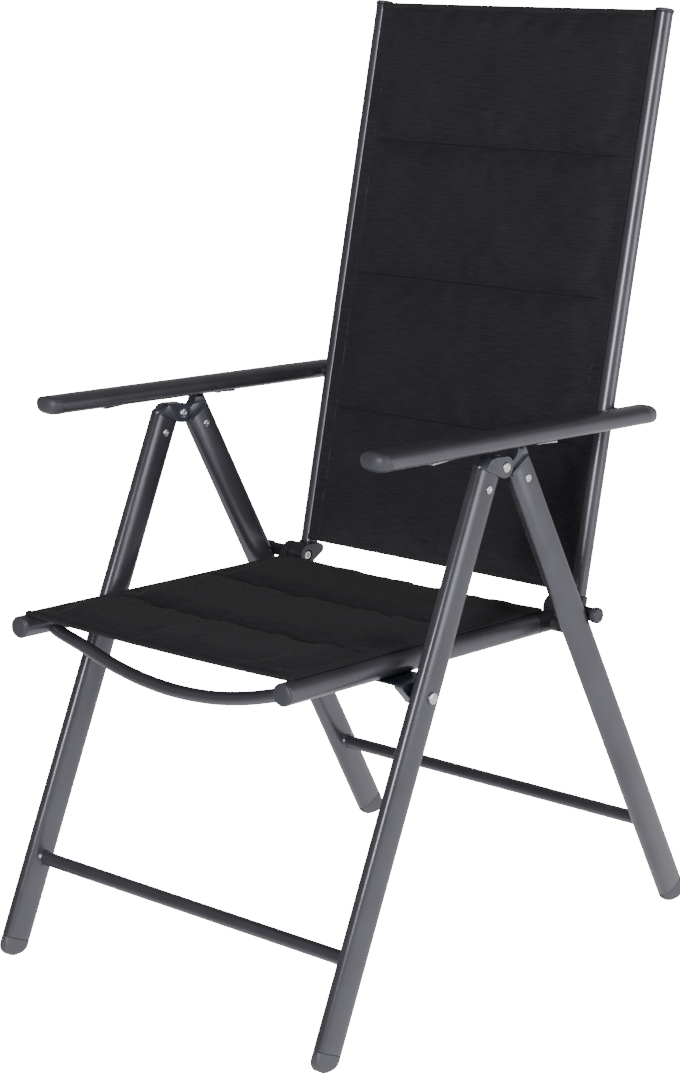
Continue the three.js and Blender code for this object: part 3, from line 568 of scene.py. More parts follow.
@dataclass(frozen=True)
class Weave:
    """Coated polyester weave, drawn from the piece's UV map, which is in metres.

    The real threads are about 1 mm apart, too fine to show, so they are drawn coarser.

    Attributes:
        tone: its darker tone as an sRGB hex value.
        light_tone: its paler tone.
        thread_mm: distance between threads as drawn.
        slub_mm: length and width of the thicker bits of yarn.
        cloud_mm: size of the faint patches of tone.
        relief_mm: depth of the space between threads.
        openness: level over which the space between threads is open, nothing for a closed weave.
        veil: how solid an open space still looks, because it is finer than drawn.
        crooked: how much the threads wander.
        shares: weights of threads, thick bits and patches in the tone.
    """

    name: str
    tone: str
    light_tone: str
    thread_mm: float = 2.1
    slub_mm: Point = (26.0, 1.6)
    cloud_mm: float = 70.0
    relief_mm: float = 0.25
    openness: float = 0.0
    veil: float = 0.8
    crooked: float = 0.6
    shares: tuple[float, float, float] = (0.55, 0.9, 0.35)

    @cache
    def material(self) -> bpy.types.Material:
        """The weave's material, made on first use.

        Returns:
            The material.
        """
        material, tree, shader = new_material(self.name, {
            "Roughness": 0.82, "IOR": 1.46, "Specular IOR Level": 0.22, "Sheen Weight": 0.03,
            "Sheen Roughness": 0.5})
        cloth = add(tree, "ShaderNodeUVMap", {"uv_map": "cloth"}).outputs["UV"]
        # At a scale of 1 the texture's bands are a twentieth of 2 pi apart
        band = 2 * math.pi / (20 * self.thread_mm * MM)
        warp, weft = (add(tree, "ShaderNodeTexWave", {"bands_direction": way}, {
            "Vector": cloth, "Scale": band, "Distortion": self.crooked, "Detail": 1.0})
            for way in "XY")
        over = add(tree, "ShaderNodeTexChecker", links={
            "Vector": cloth, "Scale": 1 / (self.thread_mm * MM)})
        threads = add(tree, "ShaderNodeMix", {"data_type": "FLOAT"}, {
            "Factor": over.outputs["Fac"], 2: warp.outputs["Fac"], 3: weft.outputs["Fac"]})
        stretch = add(tree, "ShaderNodeMapping", links={
            "Vector": cloth, "Scale": (*(1 / (size * MM) for size in self.slub_mm), 1.0)})
        slubs = add(tree, "ShaderNodeTexNoise", links={
            "Vector": stretch.outputs["Vector"], "Scale": 1.0, "Detail": 2.0})
        clouds = add(tree, "ShaderNodeTexNoise", links={
            "Vector": cloth, "Scale": 1 / (self.cloud_mm * MM), "Detail": 2.0})
        body = add(tree, "ShaderNodeMath", {"operation": "MULTIPLY"}, {
            0: threads.outputs[0], 1: self.shares[0]})
        streak = add(tree, "ShaderNodeMath", {"operation": "MULTIPLY_ADD"}, {
            0: slubs.outputs["Fac"], 1: self.shares[1], 2: body.outputs[0]})
        level = add(tree, "ShaderNodeMath", {"operation": "MULTIPLY_ADD"}, {
            0: clouds.outputs["Fac"], 1: self.shares[2], 2: streak.outputs[0]})
        spread = add(tree, "ShaderNodeMapRange", links={
            "Value": level.outputs[0], "From Min": 0.5, "From Max": 1.3})
        colour = add(tree, "ShaderNodeMix", {"data_type": "RGBA"}, {
            "Factor": spread.outputs["Result"], 6: linear(self.tone),
            7: linear(self.light_tone)})
        bump = add(tree, "ShaderNodeBump", links={
            "Height": threads.outputs[0], "Strength": 0.5, "Distance": self.relief_mm * MM})
        feed(tree, shader, {"Base Color": colour.outputs[2], "Normal": bump.outputs["Normal"]})
        if self.openness:
            gap = add(tree, "ShaderNodeMath", {"operation": "MULTIPLY"}, {
                0: warp.outputs["Fac"], 1: weft.outputs["Fac"]})
            alpha = add(tree, "ShaderNodeMapRange", links={
                "Value": gap.outputs[0], "From Min": self.openness,
                "From Max": self.openness + 0.08, "To Min": 1.0, "To Max": self.veil})
            feed(tree, shader, {"Alpha": alpha.outputs["Result"]})
        return material


# Polyester yarn coated in black and woven plain: matt, with thicker bits of yarn lying across
PADDED_WEAVE = Weave("woven_padded_polyester", "1a191d", "323137")
# The same yarn in a looser weave beside the padding: tiny specks where it lets light through
OPEN_WEAVE = Weave("open_edge_weave", "1b1a1e", "343339", thread_mm=2.6, openness=0.84,
                   crooked=0.0)
# Black polyester thread, twisted: a thin dark line along each seam, toned darker than the thread
# alone so that it also paints the shade in the seam's groove
THREAD_AND_SEAM_SHADE = Finish("twisted_polyester_thread", "sling_fabric", "0b0b0d", "18181b", 0.0, 0.6,
                       0.03, 3, 0.5, 0.02)
# Woven tape, folded over the cut ends: flat and matt
HEM_TAPE = Finish("woven_hem_tape", "sling_fabric", "17161a", "28272c", 0.0, 0.85, 0.03, 8, 0.9,
                  0.1)


def fit(obj: bpy.types.Object, finish: Finish, body: str, *nodes: str) -> bpy.types.Object:
    """Dress a piece and hang it on its body.

    Args:
        obj: the piece.
        finish: its finish.
        body: the body that it rides on.
        nodes: the frame nodes that it stands for.

    Returns:
        The piece.
    """
    obj.data.materials.clear()
    obj.data.materials.append(finish.material())
    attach(obj, body)
    if nodes:
        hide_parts(*nodes)
    LOG.info("%s rides on %s", obj.name, body)
    return obj


def pair(skin: Skin, name: str, finish: Finish, body: Body, node: str = "",
         sharp: float = SHARP, rounding: float = 0.0) -> None:
    """Build a piece for both sides.

    Args:
        skin: the near side's skin.
        name: the pieces' common name.
        finish: their finish.
        body: their body.
        node: the common name of the frame nodes that they stand for, if they do.
        sharp: angle in degrees from which an edge shows.
        rounding: width of the edges' rounding in millimetres.
    """
    for side in Side:
        obj = skin.build(f"{name}_{side.word}", side, sharp)
        if rounding:
            soften(obj, rounding)
        fit(obj, finish, body.on(side), *([f"{node}_{side.word}"] if node else []))


def refine_pair(node: str, name: str, finish: Finish, body: Body, rounding: float) -> None:
    """Refine a pair of frame nodes and dress them.

    Args:
        node: the common name of the two nodes.
        name: the new pieces' common name.
        finish: their finish.
        body: their body.
        rounding: width of the edges' rounding in millimetres.
    """
    for side in Side:
        obj = refined(f"{node}_{side.word}", f"{name}_{side.word}", rounding)
        fit(obj, finish, body.on(side), f"{node}_{side.word}")


def across(skin: Skin, profile: Sequence[Point], centre: Point, steps: int = 40) -> Skin:
    """Add a piece turned about a cross axis: (radius, x) points round a side-view centre."""
    return skin.turned(profile, Vector((0, *centre)), Vector((1, 0, 0)), steps)


@cache
def rows_tree(name: str, sizes: tuple[str, ...], laid: Callable) -> bpy.types.NodeTree:
    """A tree that lays copies of a small mesh, makes them real and dresses them.

    Args:
        name: the tree's name.
        sizes: names of its number inputs.
        laid: adds the nodes that lay the copies, from the tree and its inputs' sockets.

    Returns:
        The tree, made on first use.
    """
    tree = bpy.data.node_groups.new(name, "GeometryNodeTree")
    kinds = {"Geometry": "Geometry", "Piece": "Object", "Finish": "Material"}
    kinds |= {word: "Float" for word in sizes}
    for word, kind in kinds.items():
        tree.interface.new_socket(word, in_out="INPUT", socket_type=f"NodeSocket{kind}")
    tree.interface.new_socket("Geometry", in_out="OUTPUT", socket_type="NodeSocketGeometry")
    given = add(tree, "NodeGroupInput").outputs
    real = add(tree, "GeometryNodeRealizeInstances", links={"Geometry": laid(tree, given)})
    dressed = add(tree, "GeometryNodeSetMaterial", links={
        "Geometry": real.outputs["Geometry"], "Material": given["Finish"]})
    add(tree, "NodeGroupOutput", links={"Geometry": dressed.outputs["Geometry"]})
    return tree


def grown(name: str, guide: bpy.types.Mesh, tree: bpy.types.NodeTree,
          inputs: dict[str, object], sharp: float) -> bpy.types.Object:
    """Run a tree on a guide mesh and keep the result as a plain mesh object.

    Args:
        name: the new object's name.
        guide: points or lines in metres.
        tree: the node tree.
        inputs: input name to value.
        sharp: angle in degrees from which an edge shows.

    Returns:
        The new object.
    """
    holder = bpy.data.objects.new(f"{name}_guide", guide)
    bpy.context.collection.objects.link(holder)
    rows = holder.modifiers.new("rows", "NODES")
    rows.node_group = tree
    for item in tree.interface.items_tree:
        if item.in_out == "INPUT" and item.name in inputs:
            rows[item.identifier] = inputs[item.name]
    seen = holder.evaluated_get(bpy.context.evaluated_depsgraph_get())
    mesh = bpy.data.meshes.new_from_object(seen)
    bpy.data.objects.remove(holder)
    bpy.data.meshes.remove(guide)
    mesh.name = name
    return shown(name, mesh, sharp)


@dataclass
class Fastener:
    """A turned screw or rivet: (radius, height) points from one pole to the other."""

    profile: Sequence[Point]
    sides: int = 28

    @staticmethod
    def laid(tree: bpy.types.NodeTree, given: bpy.types.bpy_prop_collection) \
            -> bpy.types.NodeSocket:
        """Nodes that stand a piece on each point, along the point's own direction.

        Args:
            tree: the tree to add them to.
            given: the tree's inputs.

        Returns:
            The socket with the copies.
        """
        way = add(tree, "GeometryNodeInputNamedAttribute", {"data_type": "FLOAT_VECTOR"},
                  {"Name": "way"})
        turn = add(tree, "FunctionNodeAlignRotationToVector", {"axis": "Z"}, {
            "Vector": way.outputs["Attribute"]})
        piece = add(tree, "GeometryNodeObjectInfo", links={"Object": given["Piece"]})
        points = add(tree, "GeometryNodeMeshToPoints", links={"Mesh": given["Geometry"]})
        return add(tree, "GeometryNodeInstanceOnPoints", links={
            "Points": points.outputs["Points"], "Instance": piece.outputs["Geometry"],
            "Rotation": turn.outputs["Rotation"]}).outputs["Instances"]

    def set(self, name: str, spots: Sequence[Placed]) -> bpy.types.Object:
        """Set one fastener at each place.

        Args:
            name: the new object's name.
            spots: places in millimetres, each with the fastener's direction.

        Returns:
            One plain mesh object of them all.
        """
        # The shift to the frame's place is taken out, so that the lone piece is at the origin
        lone = Skin().turned(self.profile, Vector((0, -Y_SHIFT, 0)), Vector((0, 0, 1)),
                             self.sides).build(f"{name}_lone")
        guide = bpy.data.meshes.new(f"{name}_spots")
        guide.from_pydata([(p.x * MM, (p.y + Y_SHIFT) * MM, p.z * MM) for p, _ in spots], [], [])
        ways = guide.attributes.new("way", "FLOAT_VECTOR", "POINT")
        for item, (_, way) in zip(ways.data, spots):
            item.vector = way
        obj = grown(name, guide, rows_tree("stood_pieces", (), self.laid),
                    {"Piece": lone, "Finish": ZINC_PLATE.material()}, SHARP)
        bpy.data.meshes.remove(lone.data)
        return obj


# Pan-head screw with a recess in its head
PAN_SCREW = Fastener([(0, -1.5), (2.2, -1.5), (2.2, 0), (4.4, 0), (4.3, 1.1), (3.4, 2.0),
                      (1.9, 2.4), (1.4, 1.3), (0, 1.2)])


@dataclass
class Legs:
    """Two pairs of oval legs, their foot plugs and the cross tubes between them.

    Attributes:
        x: sideways place of a leg's axis.
        depth: the oval's longer measure, seen from the side.
        width: its shorter one.
        fullness: how full the oval is, between an ellipse's 2 and flat sides.
        foot_round: radius of the plug's toe and heel.
        sole_round: radius of its sides at the sole.
        sole_insets: how far the rings that close the sole are drawn in.
        weld: the weld beads' outline, as rise over the cross tube and distance from the leg.
        bite: how deep the cross tubes reach into the legs.
    """

    x: float = 246.5
    depth: float = 39.0
    width: float = 19.0
    fullness: float = 2.7
    front_foot: Point = (-301.8, 0.0)
    front_top: Point = (-27.0, 607.7)
    rear_top: Point = (27.88, 607.85)
    foot_height: float = 11.0
    foot_round: float = 15.0
    sole_round: float = 5.0
    sole_insets: tuple[float, ...] = (6.5, 8.0, 9.3)
    stretcher_radius: float = 8.2
    front_stretcher: float = 110.0
    rear_stretcher: float = 118.0
    weld: tuple[Point, ...] = ((-0.5, 3.4), (0.8, 1.6), (1.7, 0.0))
    bite: float = 0.4

    def section(self, inset: float) -> list[Point]:
        """The tube's oval, drawn in by a distance."""
        return oval(self.width / 2 - inset, self.depth / 2 - inset, self.fullness)

    @property
    def rear_foot(self) -> Point:
        """Where the rear leg's axis meets the floor, with its back face just off the sleeve.

        Returns:
            The side-view point.
        """
        (y, z), (top_y, top_z) = AXLE, self.rear_top
        reach = math.dist(AXLE, self.rear_top)
        slope = math.atan2(z - top_z, y - top_y) \
            - math.asin((self.depth / 2 + SLEEVE_RADIUS + FIT) / reach)
        return (top_y - top_z / math.tan(slope), 0.0)

    def seam(self, way: Point) -> float:
        """Distance along a leg from the floor to the top of its foot plug."""
        return (self.foot_height + self.depth / 2 * abs(way[0])) / way[1]

    def foot(self, foot: Point, way: Point) -> Skin:
        """Foot plug: the leg's oval carried down to a flat sole with round corners.

        Args:
            foot: where the leg's axis meets the floor.
            way: the leg's direction.

        Returns:
            The plug's skin.
        """
        lean = math.atan2(way[1], way[0]) / 2
        reach = self.depth / 2 / way[1]
        r = self.foot_round
        outline = [
            *arc((foot[0] - reach + r / math.tan(lean), r), r, 90 + 2 * math.degrees(lean), 270,
                 14),
            *arc((foot[0] + reach - r * math.tan(lean), r), r, 270,
                 270 + 2 * math.degrees(lean), 14),
        ]
        seam = along(foot, way, self.seam(way) - FIT)
        square = (way[1], -way[0])

        def fall(offset: float) -> float:
            """How far down the leg a line at an offset from its axis leaves the outline.

            Args:
                offset: the line's distance from the axis, to the back.

            Returns:
                The distance from the joint.
            """
            start = along(seam, square, offset)
            best = 0.0
            for (ay, az), (by, bz) in zip(outline, outline[1:]):
                ey, ez = by - ay, bz - az
                cross = -way[0] * ez + way[1] * ey
                if abs(cross) < 1e-9:
                    continue
                t = ((ay - start[0]) * ez - (az - start[1]) * ey) / cross
                u = ((ay - start[0]) * -way[1] + (az - start[1]) * way[0]) / cross
                if -1e-6 <= u <= 1 + 1e-6:
                    best = max(best, t)
            return best

        def ring(inset: float, share: float, lift: float) -> Ring:
            """One ring of the plug.

            Args:
                inset: how far it is drawn in.
                share: how much of the way down it lies.
                lift: how far it then lies back up.

            Returns:
                The ring's points.
            """
            points = []
            for side, offset in self.section(inset):
                limit = max(-self.depth / 2 + 0.02, min(self.depth / 2 - 0.02, offset))
                down = fall(limit) * share - lift
                spot = along(along(seam, square, offset), way, -max(down, 0.0))
                points.append(Vector((self.x + side, *spot)))
            return points

        edge = self.sole_round
        rings = [ring(0.4, 0.0, 0.0), ring(0.0, 0.0, -0.4), ring(0.0, 0.5, 0.0)]
        rings += [ring(edge * (1 - math.cos(a)), 1.0, edge * (1 - math.sin(a)))
                  for a in (math.pi / 12 * i for i in range(7))]
        rings += [ring(inset, 1.0, 0.0) for inset in self.sole_insets]
        return Skin().sweep(rings)

    def build(self) -> None:
        """Make the legs, the foot plugs and the cross tubes."""
        for name, foot, top, body, height in (
                ("front", self.front_foot, self.front_top, Body.FRONT_LEGS, self.front_stretcher),
                ("rear", self.rear_foot, self.rear_top, Body.REAR_LEGS, self.rear_stretcher)):
            way = heading(foot, top)
            tube = Skin().bar(self.section, self.x, along(foot, way, self.seam(way)), top)
            pair(tube, f"{name}_leg_tube", SLATE_COAT, body, f"{name}_leg")
            pair(self.foot(foot, way), f"{name}_foot_plug", FOOT_PLASTIC, body, f"{name}_foot")
            centre = along(foot, way, height / way[1])
            half, radius = self.x - self.width / 2 + self.bite, self.stretcher_radius
            rod = across(Skin(), [(0, -half), (radius, -half), (radius, half), (0, half)],
                         centre, 48)
            for end in (-1, 1):
                bead = [(radius + rise, end * (half - away)) for rise, away in self.weld]
                across(rod, [(0, bead[0][1]), *bead, (0, end * half)], centre, 48)
            fit(rod.build(f"{name}_cross_tube"), SLATE_COAT, body.value, f"{name}_stretcher")


@dataclass
class LegHinges:
    """Fork and tongue heads at the top of the legs, their rivets and the notch pins.

    Attributes:
        hinge: side-view place of the hinge.
        front_plug: and of the rivet in the front leg.
        rear_plug: and of the one in the rear leg.
        inner: sideways place of a leg's inner side.
        outer: and of its outer side.
        hinge_rivet: shank radius, head radius and head height of the rivet in the hinge.
        plug_rivet: the same of the rivets that hold the heads in the legs.
        dome: a rivet head with a dimple, as shares of its radius and height.
        slices: where the heads are cut lengthways so that their ends can take the leg's oval.
        flank: how far the ends still reach out at the leg's sides.
    """

    hinge: Point = (-2.5, 610.9)
    front_plug: Point = (-33.0, 591.0)
    rear_plug: Point = (37.0, 592.5)
    notch_pin: Point = (NOTCH_PIN_Y, 629.9)
    inner: float = Legs.x - Legs.width / 2
    outer: float = Legs.x + Legs.width / 2
    hinge_rivet: tuple[float, float, float] = (3.0, 6.0, 2.4)
    plug_rivet: tuple[float, float, float] = (2.4, 4.8, 1.6)
    dome: tuple[Point, ...] = ((0, 0.3), (0.2, 0.32), (0.3, 0.9), (0.42, 1), (0.72, 0.86),
                               (0.93, 0.5), (1, 0.2), (1, 0))
    pin_radius: float = 3.0
    pin_half: float = 10.0
    pin_bevel: float = 0.6
    slices: tuple[float, ...] = (-8, -6, -3, 0, 3, 6, 8)
    flank: float = 12.0

    def rivet(self, shank: float, head: float, height: float) -> Fastener:
        """Domed rivet through a leg.

        Args:
            shank: radius of its shank.
            head: radius of its two heads.
            height: how far they stand out.

        Returns:
            The rivet.
        """
        dome = [(head * r, height * h) for r, h in self.dome]
        reach = (self.outer - self.inner) / 2 + FIT
        return Fastener([(r, -reach - d) for r, d in dome] + [(shank, -reach), (shank, reach)]
                        + [(r, reach + d) for r, d in reversed(dome)])

    def crown(self, work: bmesh.types.BMesh, side: Side, top: Point, way: Point,
              outward: int) -> None:
        """Draw a head's outer end in to the leg's oval.

        Args:
            work: the head's mesh.
            side: the side it stands on.
            top: the upper end of the leg's axis.
            way: the leg's direction.
            outward: 1 where the leg's outer side faces back, -1 where it faces front.
        """
        legs = Legs()
        centre = side.value * legs.x
        for step in self.slices:
            bmesh.ops.bisect_plane(work, geom=[*work.verts, *work.edges, *work.faces],
                                   plane_co=((centre + step) * MM, 0, 0), plane_no=(1, 0, 0))
        out = Vector((0, way[1], -way[0])) * outward
        base = Vector((centre, top[0] + Y_SHIFT, top[1]))
        for vertex in work.verts:
            spot = vertex.co / MM - base
            aside = min(1.0, abs(spot.x) / (legs.width / 2 + 0.1))
            limit = (legs.depth / 2 - 0.1) * (1 - aside ** legs.fullness) ** (1 / legs.fullness)
            limit = max(limit, self.flank)
            if spot.dot(out) > limit:
                vertex.co += out * (limit - spot.dot(out)) * MM

    def build(self) -> None:
        """Make the heads, rivets and pins."""
        legs = Legs()
        for side in Side:
            for word, name, body, foot, top, outward in (
                    ("front", "fork_head", Body.FRONT_LEGS, legs.front_foot, legs.front_top, -1),
                    ("rear", "horn_head", Body.REAR_LEGS, legs.rear_foot, legs.rear_top, 1)):
                node = f"{word}_hinge_head_{side.word}"
                head = refined(node, f"{name}_{side.word}", 0.8, lambda work: self.crown(
                    work, side, top, heading(foot, top), outward))
                fit(head, GLOSS_NYLON, body.value, node)
        centre_x = (self.inner + self.outer) / 2
        for name, node, centre, body, sizes in (
                ("hinge_rivets", "leg_hinge_rivet", self.hinge, Body.FRONT_LEGS,
                 self.hinge_rivet),
                ("fork_rivets", "front_plug_rivet", self.front_plug, Body.FRONT_LEGS,
                 self.plug_rivet),
                ("horn_rivets", "rear_plug_rivet", self.rear_plug, Body.REAR_LEGS,
                 self.plug_rivet)):
            spots = [(Vector((side.value * centre_x, *centre)), Vector((1, 0, 0)))
                     for side in Side]
            fit(self.rivet(*sizes).set(name, spots), ZINC_PLATE, body.value,
                *(f"{node}_{side.word}" for side in Side))
        radius, half, bevel = self.pin_radius, self.pin_half, self.pin_bevel
        pin = across(Skin(), [
            (0, centre_x - half), (radius - bevel, centre_x - half),
            (radius, centre_x - half + bevel), (radius, centre_x + half - bevel),
            (radius - bevel, centre_x + half), (0, centre_x + half)], self.notch_pin)
        pair(pin, "notch_pin", BLACK_STEEL, Body.REAR_LEGS, "arm_notch_pin")


@dataclass
class SeatFrame:
    """Seat rails with caps and end fittings, bowed cross tubes, brackets and pivot bolts.

    Attributes:
        x: sideways place of the rails.
        radius: their radius.
        front: front end of their axis.
        tilt: how many degrees the seat falls to the back.
        length: length of a rail.
        pivot: side-view place of the pivot bolts.
        bracket_out: sideways place of the brackets' ears.
        bolt_seat: sideways place of the pivot bolts' heads.
        shank: radius of those bolts.
        head: radius of their heads.
        bow_line: half of a bow, as shares of the rails' spacing and of its drop.
        front_bow: place along the rails and drop of the front bow.
        rear_bow: the same of the rear bow.
        screw_steps: places of the brackets' screws from the pivot along the rail.
        flange: thickness of the brackets' flanges.
    """

    x: float = 202.0
    radius: float = 12.7
    front: Point = (-309.0, 412.7)
    tilt: float = 2.06
    length: float = 430.0
    pivot: Point = (-130.3, 377.7)
    bracket_out: float = 236.3
    bolt_seat: float = Legs.x + Legs.width / 2 + FIT
    shank: float = 4.0
    head: float = 6.8
    bow_radius: float = 7.7
    bow_line: tuple[Point, ...] = ((0.965, 0.17), (0.9, 0.27), (0.74, 0.45), (0.53, 0.71),
                                   (0.28, 0.92), (0, 1))
    front_bow: Point = (47.0, 45.0)
    rear_bow: Point = (385.0, 34.0)
    screw_steps: Point = (-15.0, 17.0)
    flange: float = 2.0

    @property
    def ahead(self) -> Point:
        """Direction of the rails, to the back."""
        lean = math.radians(self.tilt)
        return (math.cos(lean), -math.sin(lean))

    def point(self, distance: float, rise: float = 0.0) -> Point:
        """Side-view point on the rail or square to it.

        Args:
            distance: how far behind the rail's front end.
            rise: how far over the axis.

        Returns:
            The point.
        """
        y, z = self.ahead
        return along(along(self.front, self.ahead, distance), (-z, y), rise)

    def bow(self, distance: float, drop: float) -> Skin:
        """Bowed cross tube, welded under the rails.

        Args:
            distance: its place along the rails.
            drop: how far its middle hangs.

        Returns:
            The tube's skin.
        """
        y, z = self.point(distance)
        half = [Vector((x * self.x, y, z - fall * drop)) for x, fall in self.bow_line]
        return Skin().tube(smooth_path(mirrored(half), 6), self.bow_radius)

    def screws(self) -> list[Placed]:
        """Where the pan-head screws stand under the brackets' flanges, and which way.

        Returns:
            Each screw's place and direction.
        """
        down = Vector((0, self.ahead[1], -self.ahead[0]))
        return [(Vector((side.value * self.x, *self.point(
            self.pivot[0] - self.front[0] + step, -self.radius - FIT - self.flange))), down)
            for side in Side for step in self.screw_steps]

    def build(self) -> None:
        """Make the seat frame."""
        axis = Vector((0, *self.ahead))
        start = Vector((self.x, *self.front))
        rail = Skin().turned([(0, 0.3), (self.radius - 0.5, 0.3), (self.radius, 0.8),
                              (self.radius, self.length - 0.6), (self.radius - 0.5, self.length),
                              (0, self.length)], start, axis, 56)
        pair(rail, "rail_tube", SLATE_COAT, Body.SEAT, "seat_rail")
        r = self.radius
        cap = Skin().turned([(0, -3.4), (r * 0.55, -3.2), (r - 2.2, -2.7), (r - 0.9, -2.0),
                             (r - 0.15, -0.9), (r + 0.1, -0.1), (r + 0.1, 0.1), (r - 1.2, 0.15),
                             (r - 1.6, 0.6), (0, 0.6)], start, axis, 56)
        pair(cap, "rail_plug", GREY_NYLON, Body.SEAT, "seat_rail_cap")
        refine_pair("seat_rail_end", "rail_end_lug", DARK_NYLON, Body.SEAT, 1.0)
        for word, sizes in (("front", self.front_bow), ("rear", self.rear_bow)):
            fit(self.bow(*sizes).build(f"{word}_bow_tube"), SLATE_COAT, Body.SEAT.value,
                f"seat_{word}_bow")
        refine_pair("seat_bracket", "pivot_bracket", BLACK_ENAMEL, Body.SEAT, 0.6)
        fit(PAN_SCREW.set("bracket_screws", self.screws()), ZINC_PLATE, Body.SEAT.value)
        nut, seat, shank, head = self.bracket_out - 2.3, self.bolt_seat, self.shank, self.head
        bolt = across(Skin(), [(0, nut - 8), (shank - 0.6, nut - 8), (shank, nut - 7.4),
                               (shank, seat), (head, seat), (head, seat + 1.9),
                               (head - 0.4, seat + 2.7), (head - 1.8, seat + 3.3),
                               (3.0, seat + 3.7), (2.6, seat + 2.6), (0, seat + 2.6)],
                      self.pivot)
        across(bolt, [(0, nut - 5.5), (6.0, nut - 5.5), (6.6, nut - 4.9),
                      (6.6, nut - 0.6), (6.0, nut), (0, nut)], self.pivot, 6)
        pair(bolt, "pivot_bolt", ZINC_PLATE, Body.FRONT_LEGS, "seat_pivot_bolt", 28)


@dataclass
class RearJoint:
    """Axles through the knuckles and lugs, and the sleeves that bear on the rear legs.

    Attributes:
        lug_out: sideways place of the rail lugs' outer faces.
        head_seat: sideways place of the bolt heads' seats in the knuckles.
        sleeve_out: sideways place of the sleeves' outer ends.
        shank: radius of the axles.
        head: radius of their heads.
        cap_radius: radius of the caps on their outer ends.
        cap_length: length of those caps.
    """

    lug_out: float = 223.6
    head_seat: float = 194.2
    sleeve_out: float = 253.2
    shank: float = 4.0
    head: float = 5.6
    cap_radius: float = 9.3
    cap_length: float = 8.0

    def build(self) -> None:
        """Make the axles, sleeves and knuckles."""
        seat, shank, head = self.head_seat, self.shank, self.head
        bolt = across(Skin(), [(0, seat - 0.9), (2.6, seat - 0.9), (2.9, seat - 3.4),
                               (head - 1.0, seat - 3.4), (head - 0.2, seat - 2.8),
                               (head, seat - 1.8), (head, seat), (shank, seat),
                               (shank, self.sleeve_out), (0, self.sleeve_out)], AXLE)
        pair(bolt, "axle_bolt", ZINC_PLATE, Body.BACK_PIVOTS, "back_axle", 30)
        start, end = self.lug_out + FIT, self.sleeve_out
        sleeve = across(Skin(), [(0, start), (SLEEVE_RADIUS - 0.6, start),
                                 (SLEEVE_RADIUS, start + 0.6),
                                 (SLEEVE_RADIUS, end - 0.2), (0, end - 0.2)], AXLE, 48)
        pair(sleeve, "axle_sleeve", BLACK_ACETAL, Body.BACK_PIVOTS, "axle_sleeve", 30)
        r, tip = self.cap_radius, end + self.cap_length
        cap = across(Skin(), [(0, end), (r - 0.6, end + 0.1), (r, end + 0.8), (r, tip - 1.4),
                              (r - 0.4, tip - 0.5), (r - 1.3, tip), (4, tip),
                              (3.6, tip - 0.4), (0, tip - 0.4)], AXLE, 48)
        pair(cap, "axle_end_cap", GREY_NYLON, Body.BACK_PIVOTS, sharp=30)
        refine_pair("back_knuckle", "back_tube_knuckle", DARK_NYLON, Body.BACKREST, 1.0)


@dataclass
class BackFrame:
    """Back tubes with their top caps, and the cross tubes behind the sling.

    Attributes:
        x: sideways place of the back tubes.
        radius: their radius.
        low: lower end of their axis.
        high: and its upper end.
        lower_bar: length up the tubes to the lower cross tube.
        upper_bar: and to the upper one.
        bar_line: half of a cross tube, as share of the tubes' spacing and distance in front.
    """

    x: float = 211.4
    radius: float = 10.5
    low: Point = (195.1, 418.3)
    high: Point = (346.2, 1085.0)
    lower_bar: float = 75.0
    upper_bar: float = 565.0
    bar_radius: float = 7.0
    bar_line: tuple[Point, ...] = ((0.965, -8), (0.93, -9.4), (0.85, -12.6), (0.6, -15),
                                   (0.3, -16.6), (0, -17))

    def point(self, distance: float, fore: float = 0.0) -> Point:
        """Side-view point at a distance up the tube and in front of its axis."""
        way = heading(self.low, self.high)
        return along(along(self.low, way, distance), (-way[1], way[0]), fore)

    def crossbar(self, distance: float) -> Skin:
        """Cross tube bowed back behind the sling."""
        half = [Vector((x * self.x, *self.point(distance, fore))) for x, fore in self.bar_line]
        return Skin().tube(smooth_path(mirrored(half), 5), self.bar_radius)

    def build(self) -> None:
        """Make the back frame."""
        length = math.dist(self.low, self.high)
        axis = Vector((0, *heading(self.low, self.high)))
        start = Vector((self.x, *self.low))
        r = self.radius
        tube = Skin().turned([(0, 0), (r - 0.4, 0), (r, 0.5), (r, length - 0.5),
                              (r - 0.4, length), (0, length)], start, axis, 52)
        pair(tube, "back_tube_bar", SLATE_COAT, Body.BACKREST, "back_tube")
        cap = Skin().turned([(0, length + FIT), (r + 0.4, length + FIT),
                             (r + 0.9, length + 0.8), (r + 0.9, length + 3.3),
                             (r + 0.5, length + 4.3), (r - 0.6, length + 4.9),
                             (0, length + 5.1)], start, axis, 52)
        pair(cap, "back_tube_cap", GREY_NYLON, Body.BACKREST, "back_top_cap")
        for name, distance in (("lower", self.lower_bar), ("upper", self.upper_bar)):
            fit(self.crossbar(distance).build(f"back_{name}_cross_tube"), SLATE_COAT,
                Body.BACKREST.value, f"back_crossbar_{name}")


